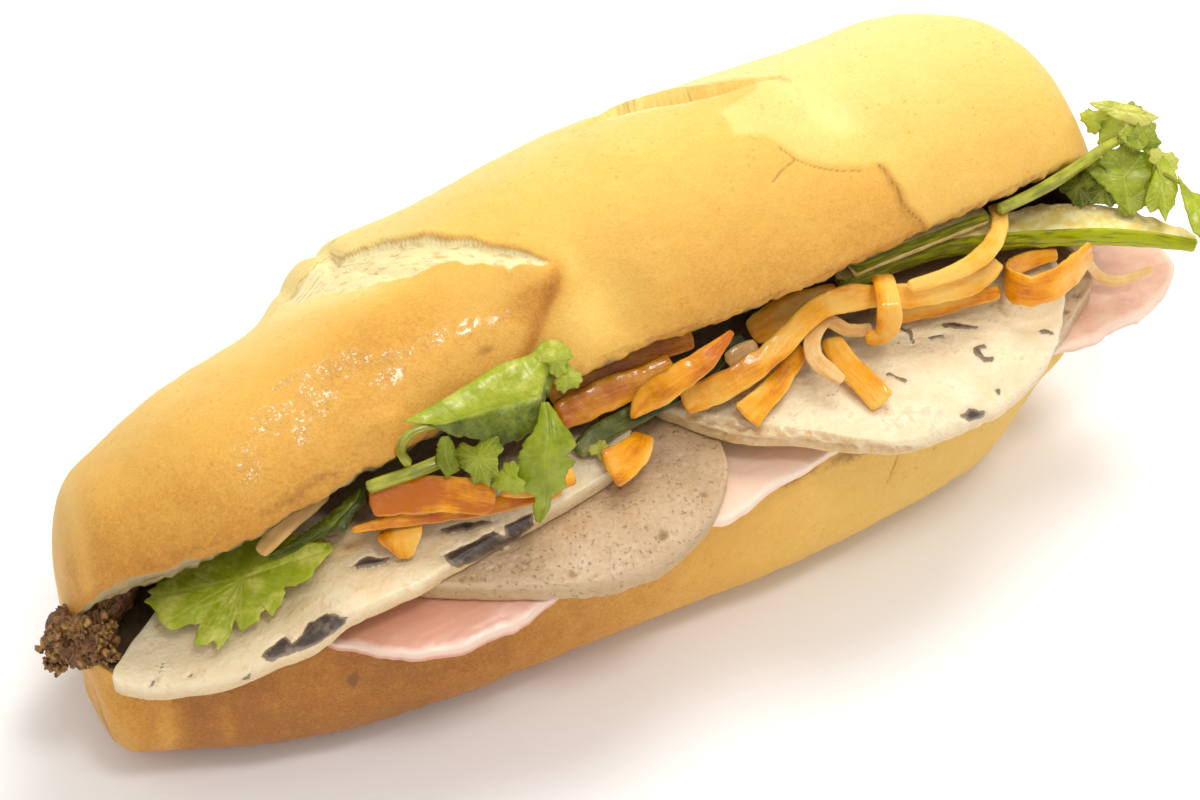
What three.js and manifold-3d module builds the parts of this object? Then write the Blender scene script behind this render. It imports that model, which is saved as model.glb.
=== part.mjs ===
// Banh mi sandwich: a split roll, hinged at the back, with sliced meats, carrot, cucumber and
// coriander. Millimetres, +Z up. X runs along the roll and the open side faces -Y.
import * as THREE from "three";
import Module from "manifold-3d";
import { mergeVertices } from "three/addons/utils/BufferGeometryUtils.js";

const wasm = await Module();
wasm.setup();

// ---- Driving dimensions ----------------------------------------------------------------------
const ROLL_LENGTH = 206;
const ROLL_CENTRE_X = 1.5;
const STATIONS = 52; // sections along the roll

// Values at nine evenly spaced places along the roll, from its left end to its right end.
const HALF_WIDTH = [17, 27, 32, 33.5, 34, 34.5, 32, 27, 22];
const CUT_HEIGHT = [28, 31, 34, 35, 36, 36, 36, 35, 33];
const BOTTOM_LIFT = [6, 1, 0, 0, 0, 0, 0, 0.5, 4];
const LIP_Y = [-12, -21, -21.5, -21, -21.5, -21.8, -19.5, -17, -14];
const LIP_Z = [43, 54, 61, 64, 65.5, 66, 66, 66, 65];
const HINGE_Y = [14, 22, 26, 29, 30, 31, 31, 30, 24];
const CROWN_THICKNESS = [13.5, 18.7, 20, 27.3, 31.3, 31.8, 31.5, 30.2, 26.5];

const ROLL_CENTRE_Y = -1;
const BASE_SQUASH = 1.5; // the flat underside is pressed in by this much
const HINGE_WEB = 8; // bread left uncut behind the pocket
const LEFT_ROUND = [7, 10]; // length of the rounding of the left end, below and above
const RIGHT_ROUND = [13, 17]; // the same at the right end

// Scored openings in the crown. Start and end are [along the roll, up over the crust from the
// lip]; front and back are the distances of the two edges from the line between them.
const SLASHES = [
  {
    start: [-8, 14],
    end: [-50, 55],
    front: [0.5, 4.5, 7, 6.5, 2],
    back: [-0.5, -1.5, -3, -9, -6],
    depth: 2.2,
    frontLift: 0.9,
    backLift: 1.5,
  },
  {
    start: [44, 35],
    end: [2, 61],
    front: [0.4, 2, 3.4, 4, 2],
    back: [-0.4, -2, -3.5, -3, -1],
    depth: 1.8,
    frontLift: 0.8,
    backLift: 1.1,
  },
];
// Swellings and hollows of the crust: [x, distance from the lip, half-length, half-width, height].
const SWELLINGS = [
  [-14, 20, 7, 6, 2.2],
  [-4, 9, 6, 10, -2.4],
  [39, 34, 6, 5, 1.8],
  [50, 24, 6, 11, -1.8],
  [76, 50, 11, 10, 1.3],
  [-70, 22, 22, 14, 0.7],
  [-40, 68, 12.5, 12, 8.2],
];

const SLICE_GAP = 0.5; // air left between neighbouring slices
const HAM = 1.8; // slice thicknesses
const PORK_ROLL = 4;
const HEAD_CHEESE = 3.5;

// Plan outlines of the slices as [x, y], smoothed through these points.
const HAM_LEFT = [
  [-66, -28.5], [-62.5, -33.5], [-56, -38.5], [-48, -41.5], [-40, -42], [-30.5, -41], [-19, -35],
  [-12, -20], [-15, -2], [-24, 8], [-36, 5], [-56, -2], [-66, -13],
];
const HAM_MIDDLE = [
  [-9, -27], [-3, -35], [3.5, -39.5], [9.5, -39.5], [15, -38], [22, -37], [29, -35.5], [42, -32],
  [50, -22], [49, -6], [40, 10], [24, 14], [8, 10], [-4, -6],
];
const HAM_RIGHT = [
  [60, -22], [71, -29.5], [83.5, -31.5], [93.5, -30.5], [103, -28.5], [110, -26], [114, -22],
  [113, -16], [105, -8], [94, 3], [80, 9], [66, 5], [59, -8],
];
const PORK_ROLL_LEFT = [
  [11, -23], [10.5, -30], [8.5, -34.5], [3, -40], [-2, -42.5], [-8.5, -44.5], [-14.5, -44.5],
  [-21.5, -43.5], [-28, -41.5], [-37, -38], [-44.5, -34], [-50, -29.5], [-53, -19], [-50, -4],
  [-40, 5], [-20, 9], [0, 5], [10, -9],
];
const PORK_ROLL_RIGHT = [
  [64, -37.5], [72, -36], [79.5, -32.5], [86.5, -28], [91.5, -25], [94.5, -22], [96, -16],
  [94, -7], [86, 2], [70, 7], [52, 7], [35, 1], [29, -14], [36, -27], [50, -35],
];
const HEAD_CHEESE_LEFT = [
  [-80, -7], [-88, -10], [-94.5, -14.5], [-99.5, -19], [-97.5, -21.5], [-93, -24.5],
  [-87, -27.5], [-79, -30.5], [-70.5, -32.5], [-65.5, -33.5], [-53.5, -34.5], [-42, -33],
  [-26, -31], [-17.5, -29.5], [-8.5, -27], [-3, -19], [-6, -7], [-20, 2], [-44, 2], [-66, 0],
];
const HEAD_CHEESE_RIGHT = [
  [2.5, -16], [6.5, -24], [10, -28.5], [15.5, -33], [21.5, -36.5], [29, -40.5], [37.5, -43.5],
  [45.5, -44], [52.5, -43.5], [61.5, -42.5], [70, -39.5], [76.5, -35.5], [82, -30], [86, -24],
  [88, -14], [82, -4], [68, 2], [46, 3], [24, 2], [8, -4],
];

// Pate, as rows of [x, y, z, half-depth, half-height] along the roll.
const PATE = [
  [-106.5, -8, 32.5, 1.6, 1.2],
  [-105, -8, 32.5, 4.8, 2.8],
  [-101.5, -8.5, 33, 7.2, 4.4],
  [-97, -6.8, 34, 8.4, 5.2],
  [-91, -3, 35, 8, 5],
  [-84, 0.5, 35, 7, 4.2],
  [-77, 4, 35.4, 5.6, 3.4],
  [-68, 7, 36, 4.8, 2.8],
  [-57, 9, 37.6, 4.4, 2.4],
  [-46, 10, 38.4, 3.4, 1.6],
];

// Cucumber wedges: the lower front edge of the skin, and the depth of the flesh behind it.
const CUCUMBER_FRONT = {
  path: [
    [43.8, -13.9, 51.2], [56.3, -13.4, 51], [66.7, -14.1, 50.8], [75.9, -16.8, 50.6],
    [84.6, -20.2, 50.4], [93.2, -23.9, 50.2], [101.1, -28.5, 50], [107.9, -33.4, 50],
  ],
  depth: [5, 5, 5.5, 6.5, 8, 7.5, 5, 1.6],
  height: [3.4, 4, 4.2, 4.2, 4.2, 4.1, 3.8, 3],
};
const CUCUMBER_BACK = {
  path: [
    [44.7, -15.3, 56], [52.6, -15, 56], [60.2, -14.8, 56], [67.9, -14.5, 56], [74.6, -14.3, 56],
  ],
  depth: [4, 4.5, 4.5, 4, 3.5],
  height: [2.8, 3.2, 3.2, 3.1, 2.6],
};

// Cut strips as centre lines [x, y, z] with widths and a thickness.
const STRIPS = {
  carrot_1: {
    points: [
      [-53.1, -23.2, 54.4], [-47, -24.9, 54.9], [-41.1, -28.1, 55.4], [-36.8, -31.4, 55.4],
      [-34.7, -32.5, 54.9],
    ],
    widths: [4, 6, 6.2, 5.4, 3],
    thickness: 1.6,
  },
  carrot_2: {
    points: [
      [-56.9, -23.7, 50.5], [-50.9, -25.2, 50.9], [-43.9, -27.4, 51.1], [-36.7, -29.5, 51.1],
      [-29.8, -31.1, 51.1], [-22.4, -32, 50.9],
    ],
    widths: [1.2, 2.2, 2.6, 2.6, 2.6, 2.4],
    thickness: 1.3,
  },
  carrot_3: {
    points: [[-48.9, -24.9, 48.6], [-49.7, -27.7, 48.4], [-49.7, -29.7, 45.7]],
    widths: [9, 6.5, 1.8],
    thickness: 0.9,
  },
  carrot_4: {
    points: [[-33, -30.6, 55], [-29, -31.8, 54.5], [-24.6, -32.3, 54], [-19.9, -31.7, 53]],
    widths: [2.8, 3.6, 3.6, 3],
    thickness: 1.6,
  },
  carrot_5: {
    points: [[-15.4, -13.5, 53], [-6.9, -12.9, 54], [2.5, -13.4, 55], [12.2, -15.2, 56]],
    widths: [4, 4.6, 4.6, 4],
    thickness: 1.8,
  },
  carrot_6: {
    points: [
      [-16, -17.6, 51.8], [-11.2, -18, 52.8], [-6.6, -18.3, 53.8], [-0.6, -19.1, 54.8],
      [5.9, -19.5, 55.8],
    ],
    widths: [4.5, 5.6, 5.6, 5, 4.5],
    thickness: 2,
  },
  carrot_7: {
    points: [
      [-4.7, -23.6, 51.7], [-1.5, -23.1, 54.2], [2.5, -24.3, 57.2], [6.5, -24.6, 59.2],
      [10.3, -24.2, 60.7], [15.7, -22.1, 61.7],
    ],
    widths: [1.2, 4.2, 4.8, 4.4, 3.2, 1.2],
    thickness: 1.8,
  },
  carrot_8: {
    points: [[-12.4, -29.3, 48], [-8.3, -28.9, 48.4], [-5, -27, 48.2], [-2.8, -24.4, 47.4]],
    widths: [6.2, 5.8, 4.8, 4.2],
    thickness: 1.5,
  },
  carrot_9: {
    points: [
      [5.4, -23.5, 50.4], [11.4, -24.3, 51.7], [16.1, -24.8, 53.1], [21.3, -24.3, 54.7],
      [25.9, -23.3, 56.1], [30.4, -21.5, 57.1], [35.2, -20.2, 57.5], [39.7, -20.5, 57.5],
      [44.5, -21.9, 57.3], [49.2, -23.7, 56.7], [55.2, -25, 56.1], [60.6, -25.9, 55.7],
      [65.6, -25.5, 55.7], [70.1, -23.6, 56.1],
    ],
    widths: [4, 5.4, 5.3, 4.8, 4.5, 4.3, 4.3, 4.4, 4.4, 4.2, 4, 3.8, 3.4, 2.6],
    thickness: 1.3,
  },
  carrot_10: {
    points: [
      [75.8, -13.3, 59.3], [73.9, -17.7, 60.3], [70.5, -21.7, 60.7], [66, -24.7, 60.9],
      [61.2, -25.9, 60.5], [55.2, -25.8, 60.1], [49.4, -25.1, 59.9],
    ],
    widths: [2.8, 3.1, 3.2, 3.2, 3.1, 2.8, 2.2],
    thickness: 1.2,
  },
  carrot_11: {
    points: [
      [47.7, -19.5, 58.7], [45.6, -23.7, 60.9], [43.7, -27.8, 60.5], [43.4, -28.9, 57.5],
      [42.4, -28.4, 54.1], [40.3, -26.6, 53.1],
    ],
    widths: [4.2, 4.6, 4.6, 4.4, 3.4, 2.6],
    thickness: 1.2,
  },
  carrot_12: {
    points: [
      [36.6, -21.8, 50.8], [35.9, -24.7, 50.4], [36, -29.2, 49.8], [36.6, -33.8, 49.4],
      [37.8, -37.7, 47.8],
    ],
    widths: [3.4, 4.4, 4.8, 5, 4.8],
    thickness: 1.1,
  },
  carrot_13: {
    points: [
      [14, -30.4, 49], [17.9, -28.8, 49.7], [22.7, -26.6, 49.9], [27.2, -24, 50.5],
      [30.8, -22.1, 51.1],
    ],
    widths: [5.6, 5.2, 4.4, 3.4, 2.6],
    thickness: 1.2,
  },
  carrot_14: {
    points: [
      [23.8, -15, 51.6], [27.8, -14.4, 52], [32.4, -13.6, 52.2], [37.6, -13.4, 52.2],
      [42.9, -13.6, 52],
    ],
    widths: [5, 6, 6, 5, 3.6],
    thickness: 1.3,
  },
  carrot_15: {
    points: [
      [46.6, -20.1, 49.6], [51, -21.7, 50], [57, -23, 50.2], [64.3, -24.2, 50.2],
      [70.1, -25.3, 50],
    ],
    widths: [2.6, 3.6, 3.8, 3.4, 2.6],
    thickness: 1.3,
  },
  carrot_16: {
    points: [
      [89.5, -25.6, 52.5], [84.2, -28.6, 53], [77.9, -30.9, 53.4], [73, -30.7, 53.4],
      [70.9, -27.9, 53], [72.2, -24.1, 51.8], [76.2, -20.9, 50], [81.5, -19.8, 48.9],
      [86.4, -20.5, 48.6],
    ],
    widths: [3.4, 4.8, 5.4, 5.4, 5.2, 4.6, 3.8, 3.2, 2.6],
    thickness: 1.2,
    across: [0.3, 0.55, 0.78],
  },
  daikon_1: {
    points: [[-71.1, -18, 46.5], [-66.4, -16.9, 49.6], [-61, -15.5, 50.9], [-57.3, -14.3, 51.4]],
    widths: [2.6, 3.2, 3.2, 3.1, 2.8],
    thickness: 2,
  },
  daikon_2: {
    points: [[16.1, -19.6, 52.4], [18.9, -19.8, 53], [22.5, -19.6, 53.6]],
    widths: [3, 3.4, 2.4],
    thickness: 1.2,
  },
  daikon_3: {
    points: [
      [43.7, -23.9, 51.4], [39.2, -23, 52.4], [36.3, -20.8, 54], [32.9, -22.3, 54.6],
      [30.5, -24.6, 54], [30.1, -27.3, 52.6], [31.2, -30.4, 51.8], [32.2, -32.7, 51.4],
    ],
    widths: [2.2, 2.4, 2.4, 2.6, 2.8, 2.8, 2.8, 2.2],
    thickness: 1.1,
  },
  daikon_4: {
    points: [
      [91.6, -21.8, 47], [93.3, -22.1, 44], [95.2, -22.9, 41.4], [97.6, -24.3, 40.2],
      [101.5, -24.7, 39.8], [106.7, -24.6, 39.8],
    ],
    widths: [2.2, 2.2, 2.2, 2.2, 2, 1.4],
    thickness: 1.0,
  },
  cucumber_left: {
    points: [
      [-14.9, -23.2, 47.8], [-10.8, -22, 48.6], [-5.4, -21, 48.8], [0.7, -20.6, 49.2],
      [6.7, -20.5, 50.2], [12, -19.1, 51.2], [17.3, -17.2, 52], [21.8, -16.3, 52.6],
    ],
    widths: [3, 3.6, 3.6, 3.4, 3.2, 3.2, 3, 2.6],
    thickness: 1.8,
  },
};

const STALKS = {
  stem_left: {
    points: [
      [-53.1, -22.4, 57.5], [-50.5, -22.9, 58.1], [-45.4, -23.9, 58.9], [-41.4, -24.3, 59.5],
      [-37.6, -24, 59.7],
    ],
    radii: [1.15, 1.15, 1.15, 1.1, 1],
  },
  stem_middle: {
    points: [
      [-45.6, -22.8, 59.8], [-46.6, -22.7, 62.8], [-46.4, -23.5, 66.3], [-44.3, -22.9, 67],
      [-41.6, -23.1, 67.2], [-39.5, -23.6, 66.9],
    ],
    radii: [0.85, 0.8, 0.8, 0.75, 0.7, 0.6],
  },
  stem_right: {
    points: [
      [73.3, -17.3, 62.1], [82.9, -17.1, 63.1], [93.3, -15.4, 64.1], [99, -14.1, 64.5],
      [104.8, -13.6, 64.7],
    ],
    radii: [1, 0.95, 0.85, 0.75, 0.6],
  },
};

const ROW_LEAVES = {
  leaf_middle: [
    [[-45.5, -21.6, 68.6], [-40.9, -23.8, 67.8], [-40.3, -24.4, 66.5]],
    [[-41.6, -21.4, 69.4], [-38.5, -24.2, 67.7], [-38.9, -24.6, 65]],
    [[-37.7, -21.1, 69.9], [-35.1, -24.5, 67.7], [-36.6, -25.7, 63.5]],
    [[-32.7, -20.7, 70.9], [-31.5, -24.9, 67.8], [-33.5, -27.6, 62.1]],
    [[-28.3, -20.2, 71.8], [-28.6, -25.3, 67.7], [-31.8, -29.6, 61.9]],
    [[-24.9, -20.3, 72], [-25.4, -25.5, 67.8], [-27.6, -29.3, 63.1]],
    [[-21.7, -20.5, 72.1], [-23, -25.8, 67.8], [-24.5, -29.1, 64.5]],
    [[-19.3, -19.9, 73.2], [-20.6, -23.6, 69.2], [-22.7, -27.4, 67]],
    [[-15.9, -20.4, 72.1], [-18.6, -22.6, 69.2], [-21.9, -26.8, 67.5]],
    [[-15.7, -21.8, 70], [-18.4, -23, 68.2], [-20.4, -24.7, 66.8]],
  ],
  leaf_hanging: [
    [[-23.4, -27, 67.4], [-23, -27.6, 67.8], [-22.4, -28, 67.8]],
    [[-26.1, -29.8, 65.4], [-24, -30.6, 66.8], [-21.9, -30.4, 67]],
    [[-28.7, -30.5, 63.6], [-25.1, -32.8, 65.4], [-21.1, -33.1, 65.6]],
    [[-30.5, -31.2, 61.6], [-26.2, -34.1, 63.6], [-20.7, -34.5, 63.6]],
    [[-30.8, -31.3, 60], [-26.8, -35.1, 62], [-21.9, -34.9, 62]],
    [[-31.8, -31.3, 58.6], [-27.2, -35.7, 60.2], [-21.1, -35.6, 60.4]],
    [[-34.4, -28.8, 58], [-27.7, -36, 58.6], [-22.9, -35.8, 58.6]],
    [[-33.8, -31.6, 57], [-27.6, -36.2, 56.6], [-24, -36.9, 56.6]],
    [[-29.3, -34.2, 56], [-27.9, -36.5, 54.6], [-25.9, -36.2, 55]],
    [[-29.6, -35.6, 53.4], [-28.3, -36.6, 53], [-27.1, -37, 53]],
    [[-29.8, -36.9, 51.6], [-29.4, -37.6, 51.6], [-28.9, -37.6, 51.6]],
  ],
  leaf_lobe: [
    [[-40.1, -23.6, 64.2], [-39.3, -23.9, 64.4], [-38.5, -24.1, 64.2]],
    [[-41, -23.7, 62.2], [-39.7, -24.8, 62.8], [-38.1, -25.3, 62.2]],
    [[-41.9, -25.1, 60.2], [-40, -25.8, 60.6], [-38.2, -26.3, 60.4]],
    [[-41.3, -26, 59], [-39.8, -26.7, 59.4], [-38.4, -27.5, 59.2]],
    [[-41, -27.1, 58], [-40.4, -27, 58.1], [-39.7, -26.7, 58.2]],
  ],
  leaf_dark: [
    [[-52.9, -16.8, 52.1], [-52.3, -17.6, 52.3], [-51.7, -18.2, 52.1]],
    [[-55, -17.4, 51.5], [-53.9, -19.1, 51.9], [-52.6, -20.2, 51.5]],
    [[-57, -18.2, 51.1], [-55.9, -20, 51.3], [-54.4, -20.6, 50.9]],
    [[-58.7, -18.4, 50.5], [-57.4, -20.3, 50.7], [-55.8, -21.8, 50.3]],
    [[-60.9, -18.5, 49.5], [-59.3, -20.8, 49.7], [-57.4, -22.6, 49.5]],
    [[-62.7, -18.5, 48.5], [-60.9, -20.2, 48.9], [-58.7, -20.6, 48.9]],
    [[-64.5, -18.3, 47.5], [-62.5, -20, 47.9], [-60.2, -21, 48.1]],
    [[-66.9, -18.1, 46.5], [-64.9, -19.3, 46.7], [-62.7, -19.9, 47.1]],
    [[-68.1, -17.5, 45.9], [-67.2, -18.8, 45.9], [-65.7, -19.8, 46.1]],
    [[-69.7, -16.9, 45.1], [-69.5, -17.9, 45], [-69, -18.9, 44.9]],
  ],
};

const FAN_LEAVES = {
  leaf_left: {
    outline: [
      [-60.3, -22.8, 46.9], [-64.2, -25.3, 45.5], [-67, -25.1, 43.8], [-69, -23.3, 42.6],
      [-71, -26, 41.3], [-73, -26.8, 40.5], [-73.4, -24, 40.5], [-76.2, -26.3, 39.8],
      [-78.3, -25.9, 38.9], [-78.3, -22.9, 39.1], [-80.9, -26, 37.7], [-82.3, -25.9, 37.1],
      [-82.5, -23.7, 37.2], [-84.6, -23.9, 36.5], [-85.7, -22.7, 36.4], [-83.8, -19.2, 37],
      [-86.6, -18.2, 36.5], [-89.2, -16.1, 36.2], [-88.3, -12.9, 36.5], [-88.6, -9.9, 36.7],
      [-86.7, -8, 37], [-81.9, -6.2, 38.2], [-76.9, -5.6, 40.4], [-71, -7.1, 42],
      [-67.1, -11.4, 44.2], [-63.2, -17.8, 46.2],
    ],
    centre: [-74.1, -16.6, 40.7],
    bulge: 1.6,
  },
  leaf_right_top: {
    outline: [
      [98.8, -7.9, 70.3], [101.5, -8.8, 70.8], [103.9, -10.5, 70.4], [106.3, -12.2, 70],
      [109.3, -15.5, 68.4], [107.7, -15.4, 67.8], [106, -15.2, 67.1], [104, -13.5, 67.6],
      [102.1, -12, 68.2], [100.5, -9.9, 69.2],
    ],
    centre: [104.3, -12.1, 69.1],
    bulge: 1.0,
  },
  leaf_right_back: {
    outline: [
      [102.5, -3.8, 65], [104.1, -5.6, 64], [106.1, -7.5, 63], [107.4, -8.9, 62.3],
      [106.6, -9.7, 61], [104.3, -9.4, 60], [102.5, -8.4, 60], [103, -6.7, 62.1],
    ],
    centre: [104.9, -7.8, 62],
    bulge: 0.8,
  },
  leaf_right_fold: {
    outline: [
      [101.7, -14.3, 65.7], [103.4, -13.3, 66.7], [105.2, -12.5, 67.5], [105.7, -14.1, 66.8],
      [106.4, -15.4, 66.4], [106.2, -17.5, 65.3], [104.3, -18.1, 64.6], [102.3, -16.4, 64.9],
    ],
    centre: [104.4, -15.6, 65.8],
    bulge: 0.8,
  },
  leaf_right_wide: {
    outline: [
      [95.6, -14.8, 60.1], [97.7, -14.2, 61.2], [100.2, -14.6, 61.8], [103.6, -15.3, 62.6],
      [106.5, -16.8, 62.6], [106.9, -18.7, 61.5], [105.4, -20.3, 59.9], [103.3, -21.6, 58.3],
      [101.1, -22.8, 56.7], [99.3, -23.5, 55.6], [98, -21.3, 56.6], [97.3, -18.9, 58],
      [96.2, -16.8, 59],
    ],
    centre: [100.8, -18.3, 59.6],
    bulge: 1.2,
  },
  leaf_right_pale: {
    outline: [
      [106.6, -17.4, 64.6], [107.9, -19.1, 64], [108.2, -21.8, 62.5], [108.1, -24.2, 61],
      [107.4, -26.1, 59.6], [105.4, -27.7, 58], [103.1, -29, 56.4], [102.8, -26.6, 57.8],
      [101.2, -26.8, 57.1], [101.3, -24.5, 58.6], [103.7, -22.3, 60.7], [105.9, -20.7, 62.4],
    ],
    centre: [105.3, -23.6, 60.4],
    bulge: 1.0,
  },
  leaf_right_tip: {
    outline: [
      [107.7, -24.6, 62.6], [107.8, -26.7, 61.7], [108.5, -29, 60.9], [110.1, -30.5, 60.6],
      [112.2, -33.2, 59.9], [109.4, -35.9, 58.1], [105.4, -37.4, 56.6], [104.6, -34.6, 57.6],
      [105.2, -31.3, 59.2], [106.3, -28.1, 60.8],
    ],
    centre: [107.4, -32.3, 59.3],
    bulge: 0.8,
  },
};

const LEAF = 0.5; // leaf thickness
const OUTWARD = [-0.33, -0.62, 0.71]; // the side the loose fillings turn their faces to

// ---- Curves ----------------------------------------------------------------------------------

// A smooth value at u, from -1 to 1, through equally spaced values.
function profile(values, u) {
  const t = ((u + 1) / 2) * (values.length - 1);
  const i = Math.max(0, Math.min(Math.floor(t), values.length - 2));
  const f = t - i;
  const at = (k) => values[Math.min(Math.max(k, 0), values.length - 1)];
  const [a, b, c, d] = [at(i - 1), at(i), at(i + 1), at(i + 2)];
  const bend = 2 * a - 5 * b + 4 * c - d + f * (3 * (b - c) + d - a);
  return b + 0.5 * f * (c - a + f * bend);
}

const pointAt = (points, u) => points[0].map((_, k) => profile(points.map((p) => p[k]), u));

function smooth(t) {
  const s = Math.min(Math.max(t, 0), 1);
  return s * s * (3 - 2 * s);
}

const mix = (a, b, t) => a + (b - a) * t;
const power = (base, exponent) => Math.sign(base) * Math.pow(Math.abs(base), exponent);

// A point [across, up] of a superellipse with half-sizes a and b.
function oval(angle, a, b, squareness) {
  const across = a * power(Math.cos(angle), 2 / squareness);
  return [across, b * power(Math.sin(angle), 2 / squareness)];
}

// A smooth closed curve through points, as `count` points.
function closedCurve(points, count) {
  const n = points.length;
  const at = (k) => points[((k % n) + n) % n];
  const result = [];
  for (let i = 0; i < count; i++) {
    const t = (i * n) / count;
    const k = Math.floor(t);
    const near = [at(k - 1), at(k), at(k + 1), at(k + 2)];
    result.push(near[0].map((_, c) => profile(near.map((p) => p[c]), (2 * (1 + t - k)) / 3 - 1)));
  }
  return result;
}

// ---- Solids ----------------------------------------------------------------------------------

// A mesh of points and triangles, turned the right way out.
function solid(points, triangles) {
  let volume = 0;
  for (const [a, b, c] of triangles) {
    const [p, q, r] = [points[a], points[b], points[c]];
    volume += p[0] * (q[1] * r[2] - q[2] * r[1]);
    volume += p[1] * (q[2] * r[0] - q[0] * r[2]);
    volume += p[2] * (q[0] * r[1] - q[1] * r[0]);
  }
  const geometry = new THREE.BufferGeometry();
  geometry.setAttribute("position", new THREE.Float32BufferAttribute(points.flat(), 3));
  geometry.setIndex(triangles.flatMap((t) => (volume > 0 ? t : [t[0], t[2], t[1]])));
  return geometry;
}

const fanCap = (ring) => ring.slice(2).map((_, i) => [0, i + 2, i + 1]);

// A closed mesh over rings of points; cap lists the triangles that fill the last ring.
function skin(rings, cap = fanCap) {
  const n = rings[0].length;
  const triangles = [];
  for (let r = 0; r + 1 < rings.length; r++) {
    for (let i = 0; i < n; i++) {
      const [a, b] = [r * n + i, r * n + ((i + 1) % n)];
      triangles.push([a, a + n, b], [b, a + n, b + n]);
    }
  }
  const last = (rings.length - 1) * n;
  triangles.push(...cap(rings[0]).map(([a, b, c]) => [a, c, b]));
  triangles.push(...cap(rings.at(-1)).map((t) => t.map((k) => k + last)));
  return solid(rings.flat(), triangles);
}

// A sheet with both faces split alike, from its two faces and the loop of its edge.
function slab(top, bottom, faces, edge) {
  const n = top.length;
  const triangles = [...faces, ...faces.map(([a, b, c]) => [a + n, c + n, b + n])];
  edge.forEach((a, i) => {
    const b = edge[(i + 1) % edge.length];
    triangles.push([a, a + n, b], [b, a + n, b + n]);
  });
  return solid([...top, ...bottom], triangles);
}

// Points from a centre out to an outline, with their triangles and edge loop.
function polarGrid(centre, outline, shares) {
  const n = outline.length;
  const points = [centre];
  for (const share of shares) {
    points.push(...outline.map((p) => p.map((v, k) => mix(centre[k], v, share))));
  }
  const faces = [];
  for (let i = 0; i < n; i++) {
    const j = (i + 1) % n;
    faces.push([0, 1 + i, 1 + j]);
    for (let r = 1; r < shares.length; r++) {
      const [a, b] = [1 + (r - 1) * n + i, 1 + (r - 1) * n + j];
      faces.push([a, a + n, b], [b, a + n, b + n]);
    }
  }
  return { points, faces, edge: outline.map((_, i) => 1 + (shares.length - 1) * n + i) };
}

// ---- The roll --------------------------------------------------------------------------------

const BOTTOM_STEPS = 13;
const FACE_STEPS = 3;
const CROWN_STEPS = 26;

// The place of x along the roll, from -1 at its left end to 1 at its right end.
const along = (x) => (x - ROLL_CENTRE_X) / (ROLL_LENGTH / 2);

// How far the crust stands out at x, at a distance over the crust from the lip.
function relief(x, distance) {
  let height = 0;
  for (const [cx, cd, rx, rd, rise] of SWELLINGS) {
    height += rise * Math.exp(-(((x - cx) / rx) ** 2) - ((distance - cd) / rd) ** 2);
  }
  for (const { start, end, front, back, depth, frontLift, backLift } of SLASHES) {
    const run = [end[0] - start[0], end[1] - start[1]];
    const length = Math.hypot(...run);
    const [ux, ud] = [run[0] / length, run[1] / length];
    const t = ((x - start[0]) * ux + (distance - start[1]) * ud) / length;
    if (t <= 0 || t >= 1) continue;
    const fade = Math.sqrt(Math.sin(Math.PI * t));
    const off = (distance - start[1]) * ux - (x - start[0]) * ud;
    const [a, b] = [profile(back, 2 * t - 1), profile(front, 2 * t - 1)];
    const share = (off - a) / (b - a);
    if (share < 0) height += fade * backLift * Math.exp((off - a) / 5);
    else if (share > 1) height += fade * frontLift * Math.exp((b - off) / 6);
    else height -= fade * depth * (1 - 0.6 * share) * smooth(6 * Math.min(share, 1 - share));
  }
  return height;
}

// The corners of the pocket at x: the front and back of the lower cut face, the back of the
// upper one, and the upper lip.
function pocket(x) {
  const u = along(x);
  const cut = profile(CUT_HEIGHT, u);
  const lift = profile(BOTTOM_LIFT, u);
  const belly = 0.58 * (cut - lift);
  const [y, z] = oval(-1.12 * Math.PI, profile(HALF_WIDTH, u), 2.3 * (cut - lift - belly), 2.7);
  const lip = [profile(LIP_Y, u), profile(LIP_Z, u)];
  const hinge = [profile(HINGE_Y, u), cut];
  const span = Math.hypot(lip[0] - hinge[0], lip[1] - hinge[1]);
  const out = [(lip[0] - hinge[0]) / span, (lip[1] - hinge[1]) / span];
  const inner = [hinge[0] + HINGE_WEB * out[0], hinge[1] + HINGE_WEB * out[1]];
  return {
    front: [ROLL_CENTRE_Y + y, lift + belly + z - BASE_SQUASH],
    low: [inner[0] - 1, cut + 1.4],
    inner,
    lip,
    hinge,
    span,
    out,
  };
}

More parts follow.
